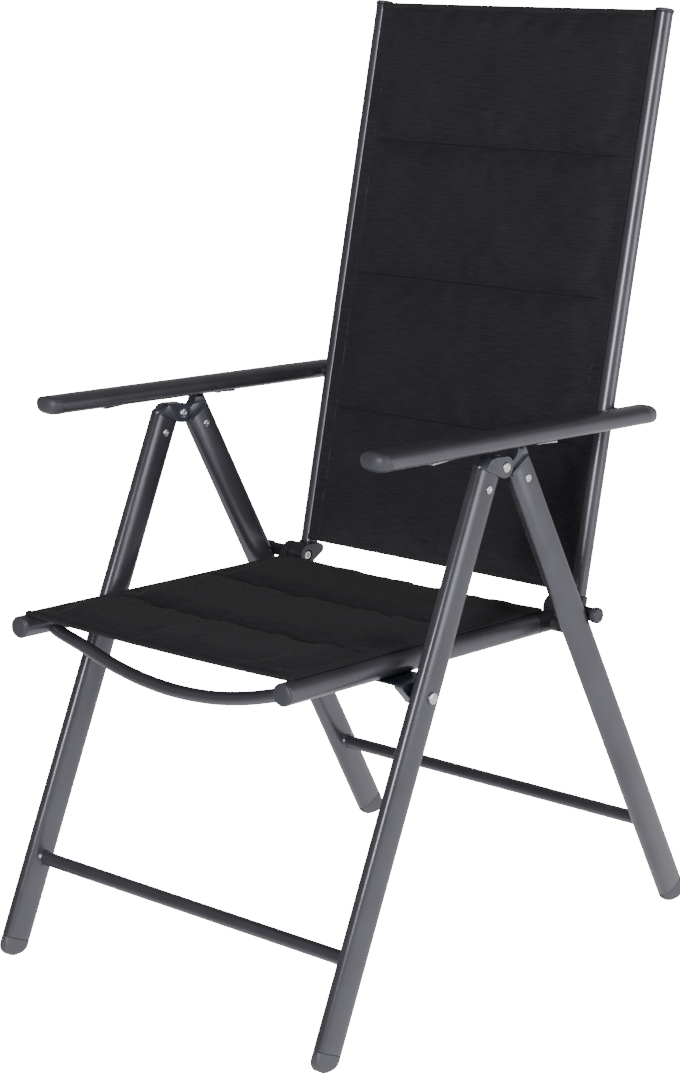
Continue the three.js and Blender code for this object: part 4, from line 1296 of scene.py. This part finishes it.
@dataclass
class Armrests:
    """Armrest channels with end caps, notched racks with screws, and the pivot bolts.

    Attributes:
        front: front end of the arm's axis in the frame, whose caps are fuller.
        rear: and its rear end.
        wall: thickness of the channel.
        slot: width of its open underside.
        fullness: how full the oval is, between an ellipse's 2 and flat sides.
        nose_at: distance of the nose's tip from the front point.
        tail_in: distance of the tail's tip from the rear point.
        front_cap: distance of the nose's joint from the front point.
        rear_cap: distance of the tail's joint from the rear point.
        slant: how far the nose's joint leans forward for each step up.
        plan_round: length over which a cap narrows, seen from above.
        nose_round: length over which it flattens, seen from the side.
        plan_power: how square the first rounding is, 2 for a circle's.
        nose_power: how square the second one is.
        cap_steps: depths of a cap's sections behind its tip.
        rack_from: distance from the pivot to the near end of the rack's side plates.
        rack_to: and to their far end.
        rack_low: depth of the rack's tabs under the arm's axis.
        cad_low: their depth in the frame, under its deeper channel.
        lip_low: depth of the side plates' lower edge inside the channel.
        web_high: height of the rack's web over the axis in the frame.
        web_drop: how far the web comes down under the flatter top.
        tab_screws: distances of the screws from the side plates' ends.
    """

    x: float = Legs.x
    front: Point = (-233.0, 650.3)
    rear: Point = (295.6, 627.5)
    width: float = 38.0
    height: float = 21.6
    wall: float = 1.8
    slot: float = 25.2
    fullness: float = 2.5
    nose_at: float = 9.5
    tail_in: float = 13.0
    front_cap: float = 26.0
    rear_cap: float = 36.0
    pivot: Point = (243.34, 631.0)
    rack_from: float = 197.0
    rack_to: float = 349.0
    rack_low: float = 10.9
    cad_low: float = 14.3
    lip_low: float = 8.6
    web_high: float = 9.9
    web_drop: float = 3.2
    slant: float = 0.6
    plan_round: float = 16.0
    nose_round: float = 10.0
    plan_power: float = 2.3
    nose_power: float = 2.1
    cap_steps: tuple[float, ...] = (0.1, 0.4, 1.0, 2.0, 3.4, 5.2, 7.4, 10, 13)
    tab_screws: Point = (22.0, 17.0)
    spacer_radius: float = 7.0
    bolt_radius: float = 4.0

    @property
    def ahead(self) -> Point:
        """Direction of the arm, to the back."""
        return heading(self.front, self.rear)

    @property
    def length(self) -> float:
        """Length of the arm's axis."""
        return math.dist(self.front, self.rear)

    @property
    def reach(self) -> float:
        """Distance along the arm to the pivot."""
        return math.dist(self.front, self.pivot)

    def point(self, distance: float, rise: float = 0.0) -> Point:
        """Side-view point at a distance along the arm and a rise over its axis."""
        y, z = self.ahead
        return along(along(self.front, self.ahead, distance), (-z, y), rise)

    def place(self, section: Sequence[Point], distance: float,
              slant: float = 0.0) -> Ring:
        """Section ring of (sideways, up) points square to the arm, or slanted with height."""
        return [Vector((self.x + side, *self.point(distance + slant * up, up)))
                for side, up in section]

    def shell(self) -> Skin:
        """Channel: rounded over the top, open below between two lips.

        Returns:
            The channel's skin.
        """
        half, high, lip = self.width / 2, self.height / 2, self.slot / 2
        section = oval(half, high, self.fullness, lip) \
            + oval(half - self.wall, high - self.wall, self.fullness, lip)[::-1]
        return Skin().sweep([
            self.place(section, self.front_cap + FIT, -self.slant),
            self.place(section, self.length - self.rear_cap - FIT)])

    def cap(self, tip: float, seam: float, slant: float) -> Skin:
        """End cap: an oval plug, rounded in plan and more tightly in height at its tip.

        Args:
            tip: distance of its tip along the arm.
            seam: distance of its joint with the channel.
            slant: how far the joint leans for each step up.

        Returns:
            The cap's skin.
        """
        reach = abs(seam - tip)
        way = math.copysign(1, seam - tip)
        rings = []
        for depth in (*self.cap_steps, reach - 1, reach):
            wide, high = ((1 - max(0.0, 1 - depth / length) ** power) ** (1 / power)
                          for length, power in ((self.plan_round, self.plan_power),
                                                (self.nose_round, self.nose_power)))
            section = oval(self.width / 2 * wide, self.height / 2 * high, self.fullness)
            rings.append(self.place(section, tip + way * depth, slant * depth / reach))
        return Skin().sweep(rings)

    def screws(self, side: Side) -> list[Placed]:
        """Where the screws stand under the rack's tabs, and which way.

        Args:
            side: the side of the chair.

        Returns:
            Each screw's place and direction.
        """
        down = Vector((0, self.ahead[1], -self.ahead[0]))
        near, far = self.tab_screws
        return [(Vector((side.value * self.x, *self.point(self.reach - distance,
                                                          -self.rack_low))), down)
                for distance in (self.rack_from - near, self.rack_to + far)]

    def tuck(self, mesh: bpy.types.Mesh) -> None:
        """Draw a rack into the oval channel, with only its end tabs under the lips.

        Args:
            mesh: the rack's mesh.
        """
        ahead = Vector((0, *self.ahead))
        up = Vector((0, -ahead.z, ahead.y))
        base = Vector((0, self.front[0] + Y_SHIFT, self.front[1]))
        for vertex in mesh.vertices:
            spot = vertex.co / MM - base
            rise, behind = spot.dot(up), self.reach - spot.dot(ahead)
            moved = max(rise, -self.lip_low)
            if rise < -self.lip_low and not self.rack_from + 1 < behind < self.rack_to - 1:
                moved = rise + self.cad_low - self.rack_low
            if rise > self.web_high / 2:
                moved = rise - self.web_drop
            vertex.co += up * (moved - rise) * MM

    def build(self) -> None:
        """Make the armrests."""
        length = self.length
        pair(self.shell(), "armrest_channel", SLATE_COAT, Body.ARMREST, "armrest_shell", 30, 0.35)
        pair(self.cap(self.nose_at, self.front_cap, -self.slant), "armrest_nose", GREY_NYLON,
             Body.ARMREST, "armrest_front_cap", 50)
        pair(self.cap(length - self.tail_in, length - self.rear_cap, 0), "armrest_tail",
             SLATE_NYLON, Body.ARMREST, "armrest_rear_cap", 50)
        for side in Side:
            rack = refined(f"notch_rack_{side.word}", f"arm_rack_{side.word}", 0.3)
            self.tuck(rack.data)
            fit(rack, RACK_PLATE, Body.ARMREST.on(side), f"notch_rack_{side.word}")
            fit(PAN_SCREW.set(f"rack_screws_{side.word}", self.screws(side)), ZINC_PLATE,
                Body.ARMREST.on(side))
        start = BackFrame.x + BackFrame.radius + FIT
        inner = self.x - self.width / 2
        end = inner - FIT
        radius, bore = self.spacer_radius, self.bolt_radius + 0.4
        spacer = across(Skin(), [
            (bore, start), (radius - 0.4, start), (radius, start + 0.5), (radius, end - 0.5),
            (radius - 0.4, end), (bore, end)], self.pivot)
        pair(spacer, "arm_spacer", DARK_NYLON, Body.ARM_PIVOT)
        radius, seat = self.bolt_radius, inner + self.wall
        bolt = across(Skin(), [
            (0, start - 5), (radius, start - 5), (radius, seat + 0.8), (radius + 1.2, seat + 0.8),
            (radius + 1.2, seat + 3.6), (radius + 0.6, seat + 4), (0, seat + 4)], self.pivot)
        pair(bolt, "arm_bolt", ZINC_PLATE, Body.ARM_PIVOT, "arm_pivot_bolt", 30)


@dataclass
class PaddedSling:
    """Padded panel sewn across in lines, with a plain edge along each side.

    Attributes:
        half: half of its width.
        start: length along the panel's line at which it starts.
        end: and at which it ends.
        seams: lengths at which it is sewn across.
        border: width of the edge without padding.
        thick: thickness of the padding.
        hem: thickness of the plain edge and of the seams.
        sag: how deep the middle hangs.
        lift: height of the panel over the line that point gives.
        point: gives the side-view point at a length along the panel and a height over it.
        edging: weave of the edge.
        cell: size of the grid's cells.
        swell: how far the simulation may move a point.
        share_above: share of the padding over the seams.
        slack: how full the padding is before it swells.
        seam_reach: distance from a seam at which the padding is full.
        side_reach: distance from an edge at which it is full.
        frames: length of the simulation.
        stitch_lift: height of the stitches over the cloth.
        tape_half: half of the hem tape's width.
        tape_thick: how far it stands out over the hem.
        tape_steps: number of its sections.
    """

    name: str
    body: Body
    node: str
    half: float
    start: float
    end: float
    seams: tuple[float, ...]
    border: float
    thick: float
    hem: float
    sag: float
    lift: float
    point: Callable[[float, float], Point]
    edging: Weave
    cell: float = 6.5
    swell: float = 4.5
    share_above: float = 0.62
    slack: float = 0.7
    seam_reach: float = 22.0
    side_reach: float = 34.0
    frames: int = 20
    stitch_lift: float = 0.5
    tape_half: float = 4.5
    tape_thick: float = 1.3
    tape_steps: int = 60

    @property
    def marks(self) -> list[float]:
        """Lengths at which the panel is held flat: its cut ends and its seams."""
        return [self.start, *self.seams, self.end]

    @property
    def full_half(self) -> float:
        """Half of the padding's width."""
        return self.half - self.border

    def rows(self) -> list[float]:
        """Lengths of the grid's rows, with one on each sewn line.

        Returns:
            The lengths, from the start to the end.
        """
        rows: list[float] = []
        for low, high in zip(self.marks, self.marks[1:]):
            count = round((high - low) / self.cell)
            rows += [low + (high - low) * i / count for i in range(count)]
        return [*rows, self.end]

    def columns(self) -> list[float]:
        """Sideways places of the grid's columns, with one on each edge of the padding.

        Returns:
            The places, from the right to the left.
        """
        edge = self.full_half
        count = round(2 * edge / self.cell)
        columns = [-edge + 2 * edge * i / count for i in range(count + 1)]
        if self.border:
            outer = [self.half - self.border * i / 4 for i in range(4)]
            columns = [-x for x in outer] + columns + outer[::-1]
        return columns

    def puff(self, x: float, w: float) -> float:
        """How full the padding is at a place.

        Args:
            x: sideways place.
            w: length along the panel.

        Returns:
            Nothing on a seam or edge, 1 well away from them.
        """
        gap = min(abs(w - mark) for mark in self.marks)
        side = self.full_half - abs(x)
        if gap < 0.01 or side < 0.01:
            return 0.0
        return min(1.0, math.sqrt(gap / self.seam_reach)) \
            * min(1.0, math.sqrt(side / self.side_reach))

    def dip(self, x: float) -> float:
        """How deep the panel hangs at a sideways place."""
        return self.sag * (1 - (x / self.half) ** 2)

    def height(self, x: float, w: float, above: bool) -> float:
        """Height of the upper or lower face over the panel's line.

        Args:
            x: sideways place.
            w: length along the panel.
            above: whether it is the upper face.

        Returns:
            The height, less than nothing for the lower face.
        """
        share = self.share_above if above else 1 - self.share_above
        rise = self.hem / 2 + (self.thick * share - self.hem / 2) * self.puff(x, w) * self.slack
        return (rise if above else -rise) - self.dip(x)

    @staticmethod
    def quads(wide: int, long: int) -> list[list[int]]:
        """Faces of a closed panel: the upper grid, the lower grid and the rim.

        Args:
            wide: number of points in a row.
            long: number of rows.

        Returns:
            The points of each face.
        """
        low = wide * long
        faces: list[list[int]] = []
        for row in range(long - 1):
            for i in range(wide - 1):
                a = row * wide + i
                faces.append([a, a + 1, a + wide + 1, a + wide])
                faces.append([low + k for k in (a, a + wide, a + wide + 1, a + 1)])
        for i in range(wide - 1):
            a = (long - 1) * wide + i
            faces.append([i, low + i, low + i + 1, i + 1])
            faces.append([a, a + 1, low + a + 1, low + a])
        for row in range(long - 1):
            a, b = row * wide, row * wide + wide - 1
            faces.append([a, a + wide, low + a + wide, low + a])
            faces.append([b, low + b, low + b + wide, b + wide])
        return faces

    def mesh(self) -> bpy.types.Object:
        """The panel before it swells: two faces and a rim, with UVs in metres and pins.

        Returns:
            The new object.
        """
        xs, ws = self.columns(), self.rows()
        points = [(x * MM, (y + Y_SHIFT) * MM, z * MM)
                  for above in (True, False) for w in ws for x in xs
                  for y, z in [self.point(w, self.lift + self.height(x, w, above))]]
        mesh = bpy.data.meshes.new(self.name)
        mesh.from_pydata(points, [], self.quads(len(xs), len(ws)))
        spots = [(x, w) for w in ws for x in xs] * 2
        uvs = mesh.uv_layers.new(name="cloth")
        for loop in mesh.loops:
            x, w = spots[loop.vertex_index]
            uvs.data[loop.index].uv = (x * MM, w * MM)
        creases = mesh.attributes.new("crease_edge", "FLOAT", "EDGE")
        for item, line in zip(creases.data, mesh.edges):
            low_w, high_w = (spots[v][1] for v in line.vertices)
            item.value = float(low_w == high_w and low_w in self.seams)
        for face in mesh.polygons:
            aside = sum(abs(spots[v][0]) for v in face.vertices) / len(face.vertices)
            face.material_index = 1 if aside > self.full_half + 0.1 else 0
        obj = bpy.data.objects.new(self.name, mesh)
        bpy.context.collection.objects.link(obj)
        held = obj.vertex_groups.new(name="sewn down")
        held.add([i for i, (x, w) in enumerate(spots) if self.puff(x, w) == 0.0], 1.0, "REPLACE")
        work = bmesh.new()
        work.from_mesh(mesh)
        bmesh.ops.recalc_face_normals(work, faces=work.faces)
        work.to_mesh(mesh)
        work.free()
        return obj

    def inflate(self, obj: bpy.types.Object) -> None:
        """Swell the padding with a cloth simulation, held along the seams and edges.

        Args:
            obj: the panel.
        """
        cloth = obj.modifiers.new("swell", "CLOTH")
        settings = cloth.settings
        settings.vertex_group_mass = "sewn down"
        settings.use_pressure = True
        settings.uniform_pressure_force = 4.5
        settings.effector_weights.gravity = 0
        settings.quality = 5
        settings.mass = 0.25
        settings.tension_stiffness = 12
        settings.compression_stiffness = 8
        settings.shear_stiffness = 4
        settings.bending_stiffness = 0.25
        settings.shrink_min = settings.shrink_max = -0.035
        cloth.point_cache.frame_start = 1
        cloth.point_cache.frame_end = self.frames
        scene = bpy.context.scene
        for number in range(1, self.frames + 1):
            scene.frame_set(number)
        swollen = obj.evaluated_get(bpy.context.evaluated_depsgraph_get()).data
        steps = [new.co - old.co for old, new in zip(obj.data.vertices, swollen.vertices)]
        obj.modifiers.remove(cloth)
        scene.frame_set(1)
        for vertex, step in zip(obj.data.vertices, steps):
            if step.length > self.swell * MM:
                step *= self.swell * MM / step.length
            vertex.co += step

    def build(self) -> None:
        """Make the panel, let it swell and dress it."""
        obj = self.mesh()
        self.inflate(obj)
        obj.data.shade_smooth()
        obj.data.materials.append(PADDED_WEAVE.material())
        obj.data.materials.append(self.edging.material())
        finer = obj.modifiers.new("finer cloth", "SUBSURF")
        finer.levels = 1
        finer.render_levels = 1
        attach(obj, self.body.value)
        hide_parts(self.node)
        LOG.info("%s rides on %s", obj.name, self.body.value)
        self.stitch(obj)
        self.bind()

    def stitch(self, obj: bpy.types.Object) -> None:
        """Sew the lines: a row of stitches on both faces along each seam.

        Args:
            obj: the panel.
        """
        xs, ws = self.columns(), self.rows()
        n = len(xs)
        edge = self.full_half - 1.0
        lines = []
        lift = Vector((0, *self.point(0, self.stitch_lift))) - Vector((0, *self.point(0, 0)))
        for seam in self.seams:
            row = ws.index(seam)
            for level, sign in ((0, 1), (n * len(ws), -1)):
                lines.append([obj.data.vertices[level + row * n + i].co + lift * MM * sign
                              for i in range(n) if abs(xs[i]) < edge])
        stitches = Stitches().along(f"{self.name}_stitches", lines)
        # The stitches' dark tone shows the thread and also paints shade into the seam's groove
        fit(stitches, THREAD_AND_SEAM_SHADE, self.body.value)

    def bind(self) -> None:
        """Bind the two cut ends of the panel with a folded tape."""
        edge = self.half - 1.5
        for word, w in (("low", self.start), ("high", self.end)):
            rings = []
            for i in range(self.tape_steps + 1):
                x = -edge + 2 * edge * i / self.tape_steps
                rings.append([Vector((x, *self.point(w + a, self.lift - self.dip(x) + b)))
                              for a, b in oval(self.tape_half, self.hem / 2 + self.tape_thick,
                                               2.6, steps=16)])
            fit(Skin().sweep(rings).build(f"{self.name}_{word}_hem"), HEM_TAPE,
                self.body.value)


@dataclass
class Stitches:
    """Rows of lock stitches, laid by Geometry Nodes along lines."""

    spacing: float = 4.2
    length: float = 3.7
    thread: float = 0.6

    @staticmethod
    def laid(tree: bpy.types.NodeTree, given: bpy.types.bpy_prop_collection) \
            -> bpy.types.NodeSocket:
        """Nodes that lay a short thread at even steps along each line.

        Args:
            tree: the tree to add them to.
            given: the tree's inputs.

        Returns:
            The socket with the copies.
        """
        curve = add(tree, "GeometryNodeMeshToCurve", links={"Mesh": given["Geometry"]})
        steps = add(tree, "GeometryNodeResampleCurve", {"mode": "LENGTH"}, {
            "Curve": curve.outputs["Curve"], "Length": given["Spacing"]})
        stitch = add(tree, "GeometryNodeMeshCylinder", links={
            "Vertices": 6, "Side Segments": 1, "Radius": given["Thread Radius"],
            "Depth": given["Stitch Length"]})
        tangent = add(tree, "GeometryNodeInputTangent")
        turn = add(tree, "FunctionNodeAlignRotationToVector", {"axis": "Z"}, {
            "Vector": tangent.outputs["Tangent"]})
        return add(tree, "GeometryNodeInstanceOnPoints", links={
            "Points": steps.outputs["Curve"], "Instance": stitch.outputs["Mesh"],
            "Rotation": turn.outputs["Rotation"]}).outputs["Instances"]

    def along(self, name: str, lines: Sequence[Sequence[Vector]]) -> bpy.types.Object:
        """Lay stitches along lines of points in metres.

        Args:
            name: the new object's name.
            lines: the lines, each a row of points.

        Returns:
            One plain mesh object of all the stitches.
        """
        points: list[Vector] = []
        edges: list[tuple[int, int]] = []
        for line in lines:
            base = len(points)
            points.extend(line)
            edges.extend((base + i, base + i + 1) for i in range(len(line) - 1))
        guide = bpy.data.meshes.new(f"{name}_lines")
        guide.from_pydata(points, edges, [])
        sizes = {"Spacing": self.spacing * MM, "Stitch Length": self.length * MM,
                 "Thread Radius": self.thread * MM}
        return grown(name, guide, rows_tree("laid_threads", tuple(sizes), self.laid),
                     sizes | {"Finish": THREAD_AND_SEAM_SHADE.material()}, 50)


@dataclass(frozen=True)
class SoftBox:
    """A soft box, with its place and its width and height in metres and its power in watts."""

    name: str
    spot: tuple[float, float, float]
    size: Point
    power: float

    def hang(self, aim: tuple[float, float, float]) -> None:
        """Hang it in the scene.

        Args:
            aim: the point that it faces, in metres.
        """
        light = bpy.data.lights.new(self.name, "AREA")
        light.shape = "RECTANGLE"
        light.size, light.size_y = self.size
        light.energy = self.power
        lamp = bpy.data.objects.new(self.name, light)
        lamp.location = self.spot
        way = Vector(aim) - Vector(self.spot)
        lamp.rotation_euler = way.to_track_quat("-Z", "Y").to_euler()
        bpy.context.collection.objects.link(lamp)


@dataclass
class Studio:
    """Pale floor, soft light from the front and the right, and the camera.

    Attributes:
        eye: the camera's place in millimetres.
        azimuth: how far it looks round from straight at the chair's front, in degrees.
        down: how far it looks down.
        roll: how far it is turned about its line of sight.
        focal_px: its focal length in the photograph's pixels.
        image: the photograph's width and height in pixels.
        centre_px: the pixel that it points at.
        sensor: height of its sensor.
        floor_half: half of the floor's width in metres.
        bright_way: direction in which the room is brightest, towards the pale floor.
        bright_span: cosines to that direction between which its light grows.
        room_dim: light of the room's dark side.
        room_bright: light of its bright side.
        backdrop: light of the floor and backdrop that the camera itself sees.
        aim: what the soft boxes face, in metres.
    """

    eye: tuple[float, float, float] = (1943.63, -2208.73, 1206.33)
    azimuth: float = 41.21
    down: float = 13.84
    roll: float = -0.29
    focal_px: float = 2596.33
    image: Point = (680.0, 1075.0)
    centre_px: Point = (338.51, 545.95)
    sensor: float = 36.0
    floor_half: float = 80.0
    bright_way: tuple[float, float, float] = (0.25, 0.25, -0.93)
    bright_span: Point = (-0.25, 0.6)
    room_dim: float = 0.18
    room_bright: float = 1.15
    backdrop: float = 24.0
    aim: tuple[float, float, float] = (0.0, 0.0, 0.55)
    lamps: tuple[SoftBox, ...] = (
        SoftBox("front_softbox", (1.5, -3.6, 1.9), (0.9, 2.2), 135),
        SoftBox("right_softbox", (3.4, 0.9, 1.5), (1.6, 2.2), 40))

    def camera(self) -> None:
        """Place the camera where the photograph was taken from."""
        az, el, ro = (math.radians(a) for a in (self.azimuth, self.down, self.roll))
        look = Vector((-math.sin(az) * math.cos(el), math.cos(az) * math.cos(el), -math.sin(el)))
        right = Vector((math.cos(az), math.sin(az), 0))
        up = right.cross(look)
        level_right = right * math.cos(ro) + up * math.sin(ro)
        level_up = up * math.cos(ro) - right * math.sin(ro)
        lens = bpy.data.cameras.new("camera")
        lens.sensor_fit = "VERTICAL"
        lens.sensor_height = self.sensor
        lens.lens = self.focal_px / self.image[1] * self.sensor
        lens.shift_x = (self.image[0] / 2 - self.centre_px[0]) / self.image[1]
        lens.shift_y = (self.centre_px[1] - self.image[1] / 2) / self.image[1]
        lens.clip_end = 200
        camera = bpy.data.objects.new("camera", lens)
        turn = Matrix((level_right, level_up, -look)).transposed()
        spot = Vector((self.eye[0], self.eye[1] + Y_SHIFT, self.eye[2])) * MM
        camera.matrix_world = Matrix.Translation(spot) @ turn.to_4x4()
        bpy.context.collection.objects.link(camera)
        bpy.context.scene.camera = camera

    def floor(self) -> None:
        """A wide white floor that glows for the camera alone and lights nothing."""
        mesh = bpy.data.meshes.new("floor")
        half = self.floor_half
        mesh.from_pydata([(-half, -half, 0), (half, -half, 0), (half, half, 0),
                          (-half, half, 0)], [], [[0, 1, 2, 3]])
        floor = bpy.data.objects.new("floor", mesh)
        bpy.context.collection.objects.link(floor)
        material, _, _ = new_material("white_painted_floor", {
            "Base Color": (0.86, 0.86, 0.86, 1), "Roughness": 0.9,
            "Emission Color": (1, 1, 1, 1), "Emission Strength": self.backdrop})
        mesh.materials.append(material)
        floor.visible_diffuse = False
        floor.visible_glossy = False

    def surround(self) -> None:
        """Room light: pale floor below, dim room above. The camera sees plain white."""
        world = bpy.data.worlds.new("room")
        world.use_nodes = True
        tree = world.node_tree
        tree.nodes.clear()
        way = add(tree, "ShaderNodeTexCoord").outputs["Generated"]
        side = add(tree, "ShaderNodeVectorMath", {"operation": "DOT_PRODUCT"}, {
            0: way, 1: self.bright_way})
        strength = add(tree, "ShaderNodeMapRange", links={
            "Value": side.outputs["Value"], "From Min": self.bright_span[0],
            "From Max": self.bright_span[1], "To Min": self.room_dim,
            "To Max": self.room_bright})
        seen = add(tree, "ShaderNodeLightPath").outputs["Is Camera Ray"]
        level = add(tree, "ShaderNodeMix", {"data_type": "FLOAT"}, {
            "Factor": seen, 2: strength.outputs["Result"], 3: self.backdrop})
        back = add(tree, "ShaderNodeBackground", links={
            "Color": (1, 1, 1, 1), "Strength": level.outputs[0]})
        add(tree, "ShaderNodeOutputWorld", links={"Surface": back.outputs["Background"]})
        bpy.context.scene.world = world

    def build(self) -> None:
        """Set up camera, floor and light."""
        self.camera()
        self.floor()
        self.surround()
        for lamp in self.lamps:
            lamp.hang(self.aim)


def slings(seat: SeatFrame, back: BackFrame) -> None:
    """Make the padded seat and the padded back between their tubes.

    Args:
        seat: the seat frame.
        back: the back frame.
    """
    PaddedSling("seat_pad", Body.SEAT, "seat_sling", half=204.5, start=14, end=442,
                seams=(141, 297), border=13.0, thick=12, hem=3, sag=3, lift=14.5,
                point=seat.point, edging=PADDED_WEAVE).build()
    PaddedSling("back_pad", Body.BACKREST, "back_sling", half=206.0, start=7, end=681,
                seams=(175, 347, 514), border=18.0, thick=13, hem=2.4, sag=3, lift=9.4,
                point=back.point, edging=OPEN_WEAVE).build()


def main() -> None:
    """Build the armchair's pieces in order, then the studio."""
    seat, back = SeatFrame(), BackFrame()
    for assembly in (Legs(), LegHinges(), seat, RearJoint(), back, Armrests()):
        assembly.build()
    slings(seat, back)
    Studio().build()


if __name__ == "__main__":
    main()
